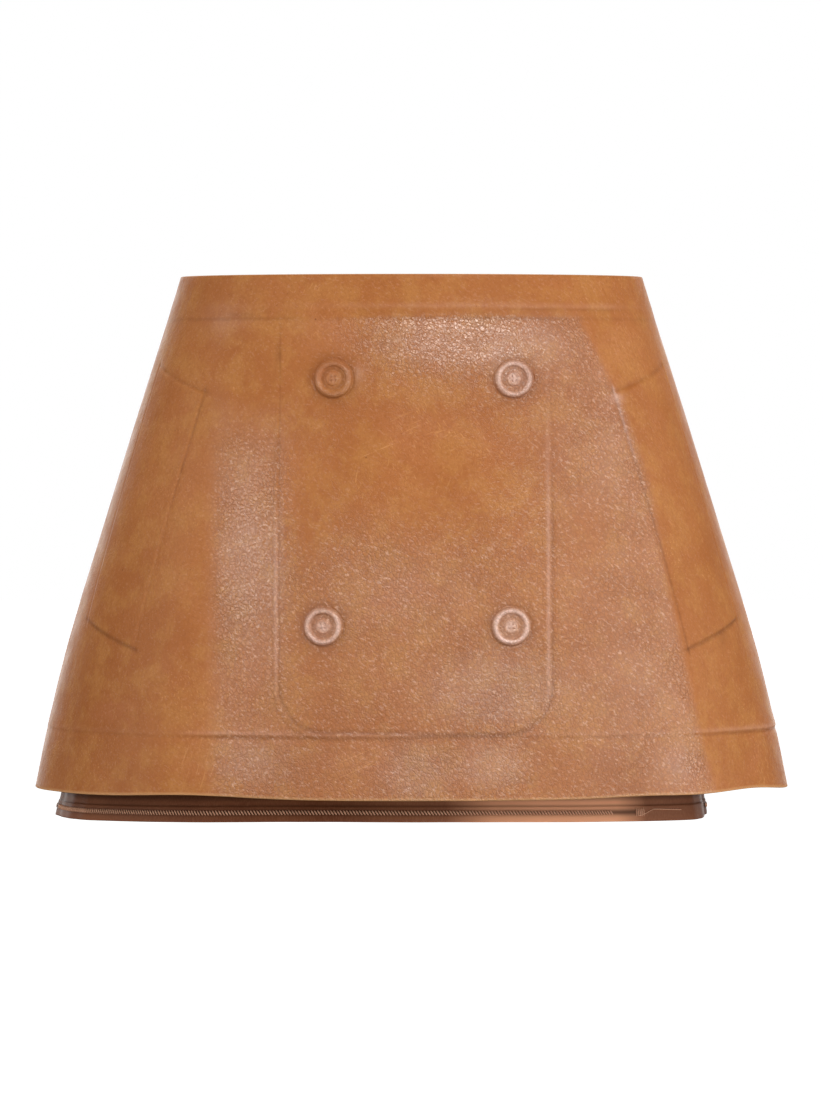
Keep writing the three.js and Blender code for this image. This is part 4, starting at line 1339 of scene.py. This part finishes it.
# Softboxes as the skirt sees them: their edges in degrees round from the front and up, and how bright
# they are
SOFTBOXES = table(
    "name left right low high radiance",
    ("key", 26, 76, 4, 56, 1.1),
    ("front", -24, 26, -4, 21, 0.6),
    ("top", -6, 32, 38, 53, 6.6),
    ("hem_glint", -4, 22, 12.5, 17, 1.3),
    ("key_edge", 68, 76, 4, 50, 1.4),
    ("strip", -46, -32, 2, 44, 2.4),
    ("low", 28, 80, -12, 6, 2.2),
    ("left_fill", -94, -58, -10, 40, 1.6),
    ("right_fill", 78, 108, -10, 30, 1.25),
    ("below", -30, 50, -40, -16, 0.95),
    ("left_side", -172, -148, -10, 40, 0.8),
    ("right_side", 148, 172, -10, 40, 1.2),
    ("behind", 160, 220, -6, 50, 1.4),
)


def make_camera():
    data = bpy.data.cameras.new("camera")
    data.sensor_width = CAMERA["sensor"]
    data.lens = CAMERA["sensor"] * CAMERA["distance"] / (FRAME_HEIGHT_PIXELS * METRES_PER_PIXEL)
    data.clip_end = CAMERA["far"]
    camera = bpy.data.objects.new("camera", data)
    camera.location = (0, -CAMERA["distance"], CAMERA["height"])
    pitch = math.atan2(CAMERA["middle"] - CAMERA["height"], CAMERA["distance"])
    camera.rotation_euler = (math.pi / 2 + pitch, 0, 0)
    bpy.context.scene.collection.objects.link(camera)
    bpy.context.scene.camera = camera


def make_floor():
    mesh = bpy.data.meshes.new("floor")
    reach = FLOOR["reach"]
    corners = [(-reach, -reach), (reach, -reach), (reach, reach), (-reach, reach)]
    mesh.from_pydata([(x, y, -FLOOR["drop"]) for x, y in corners], [], [[0, 1, 2, 3]])
    m = Nodes("pale_floor")
    colour = m.mix(m.ramp(m.noise(3), 0.3, 0.7), linear(244, 244, 244), linear(250, 250, 250))
    mesh.materials.append(
        m.shade(Base_Color=colour, Roughness=0.9, Emission_Color=(1, 1, 1, 1), Emission_Strength=1.0)
    )
    floor = bpy.data.objects.new("floor", mesh)
    floor.visible_diffuse = False
    floor.visible_glossy = False
    bpy.context.scene.collection.objects.link(floor)


def make_light(row):
    data = bpy.data.lights.new(row["name"], "AREA")
    data.shape = "RECTANGLE"
    data.color = LIGHT_COLOUR
    turn = math.radians(row["left"] + row["right"]) / 2
    rise = math.radians(row["low"] + row["high"]) / 2
    data.size = 2 * LIGHT_DISTANCE * math.tan(math.radians(row["right"] - row["left"]) / 2) * math.cos(rise)
    data.size_y = 2 * LIGHT_DISTANCE * math.tan(math.radians(row["high"] - row["low"]) / 2)
    data.energy = row["radiance"] * data.size * data.size_y * math.pi
    light = bpy.data.objects.new(row["name"], data)
    way = Vector((math.sin(turn) * math.cos(rise), -math.cos(turn) * math.cos(rise), math.sin(rise)))
    light.location = AIM + way * LIGHT_DISTANCE
    light.rotation_mode = "QUATERNION"
    light.rotation_quaternion = way.to_track_quat("Z", "Y")
    light.visible_camera = False
    bpy.context.scene.collection.objects.link(light)


def make_world():
    """A soft grey fill that the camera sees as a plain white background."""
    world = bpy.data.worlds.new("studio")
    world.use_nodes = True
    tree = world.node_tree
    background = tree.nodes["Background"]
    background.inputs["Color"].default_value = (1, 1, 1, 1)
    seen = tree.nodes.new("ShaderNodeLightPath")
    strength = tree.nodes.new("ShaderNodeMapRange")
    strength.inputs["To Min"].default_value = FILL
    strength.inputs["To Max"].default_value = BACKGROUND
    tree.links.new(seen.outputs["Is Camera Ray"], strength.inputs["Value"])
    tree.links.new(strength.outputs["Result"], background.inputs["Strength"])
    bpy.context.scene.world = world


def make_stage():
    bpy.context.scene.view_settings.view_transform = "Standard"
    make_camera()
    make_world()
    make_floor()
    for row in SOFTBOXES:
        make_light(row)


def make_panels():
    """The hides and the linings, by the node each one replaces."""
    hide, satin = leather_material(), satin_material()
    panels = {
        "front": make_front(hide),
        "back_left": make_back("skirt_back_left", 1, hide),
        "back_right": make_back("skirt_back_right", -1, hide),
        "lining_front": make_lining("satin_front", 0, satin),
        "lining_back": make_lining("satin_back", math.pi, satin),
    }
    for node, piece in panels.items():
        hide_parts(node)
    return panels


def make_lining_thread():
    thread = thread_material("lining_thread", linear(200, 140, 108), linear(244, 190, 156))
    half = math.pi / 2 - 0.04
    make_lining_stitches("hem_stitches_front", 0, (-half, math.radians(LINING_STITCH["to"])), thread)
    make_lining_stitches("hem_stitches_back", math.pi, (-half, half), thread)
    make_lining_tack(thread)
    make_thread_tail(thread)


def make_zip():
    tape = make_tape(tape_material())
    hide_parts("zip_tape")
    make_teeth(metal_material("bright_brass", linear(200, 172, 124), linear(242, 222, 182)))
    make_zip_stitches(thread_material("hide_thread", linear(206, 152, 98), linear(236, 194, 142)))
    metal = metal_material("aged_brass", linear(150, 122, 84), linear(200, 174, 132))
    make_hardware("slider", "zip_slider", SKIRT, metal)
    make_hardware("pull_tab", "zip_pull", PULL_BODY, metal)
    return tape


make_stage()
panels = make_panels()
make_lining_thread()
make_zip()
bpy.context.view_layer.update()
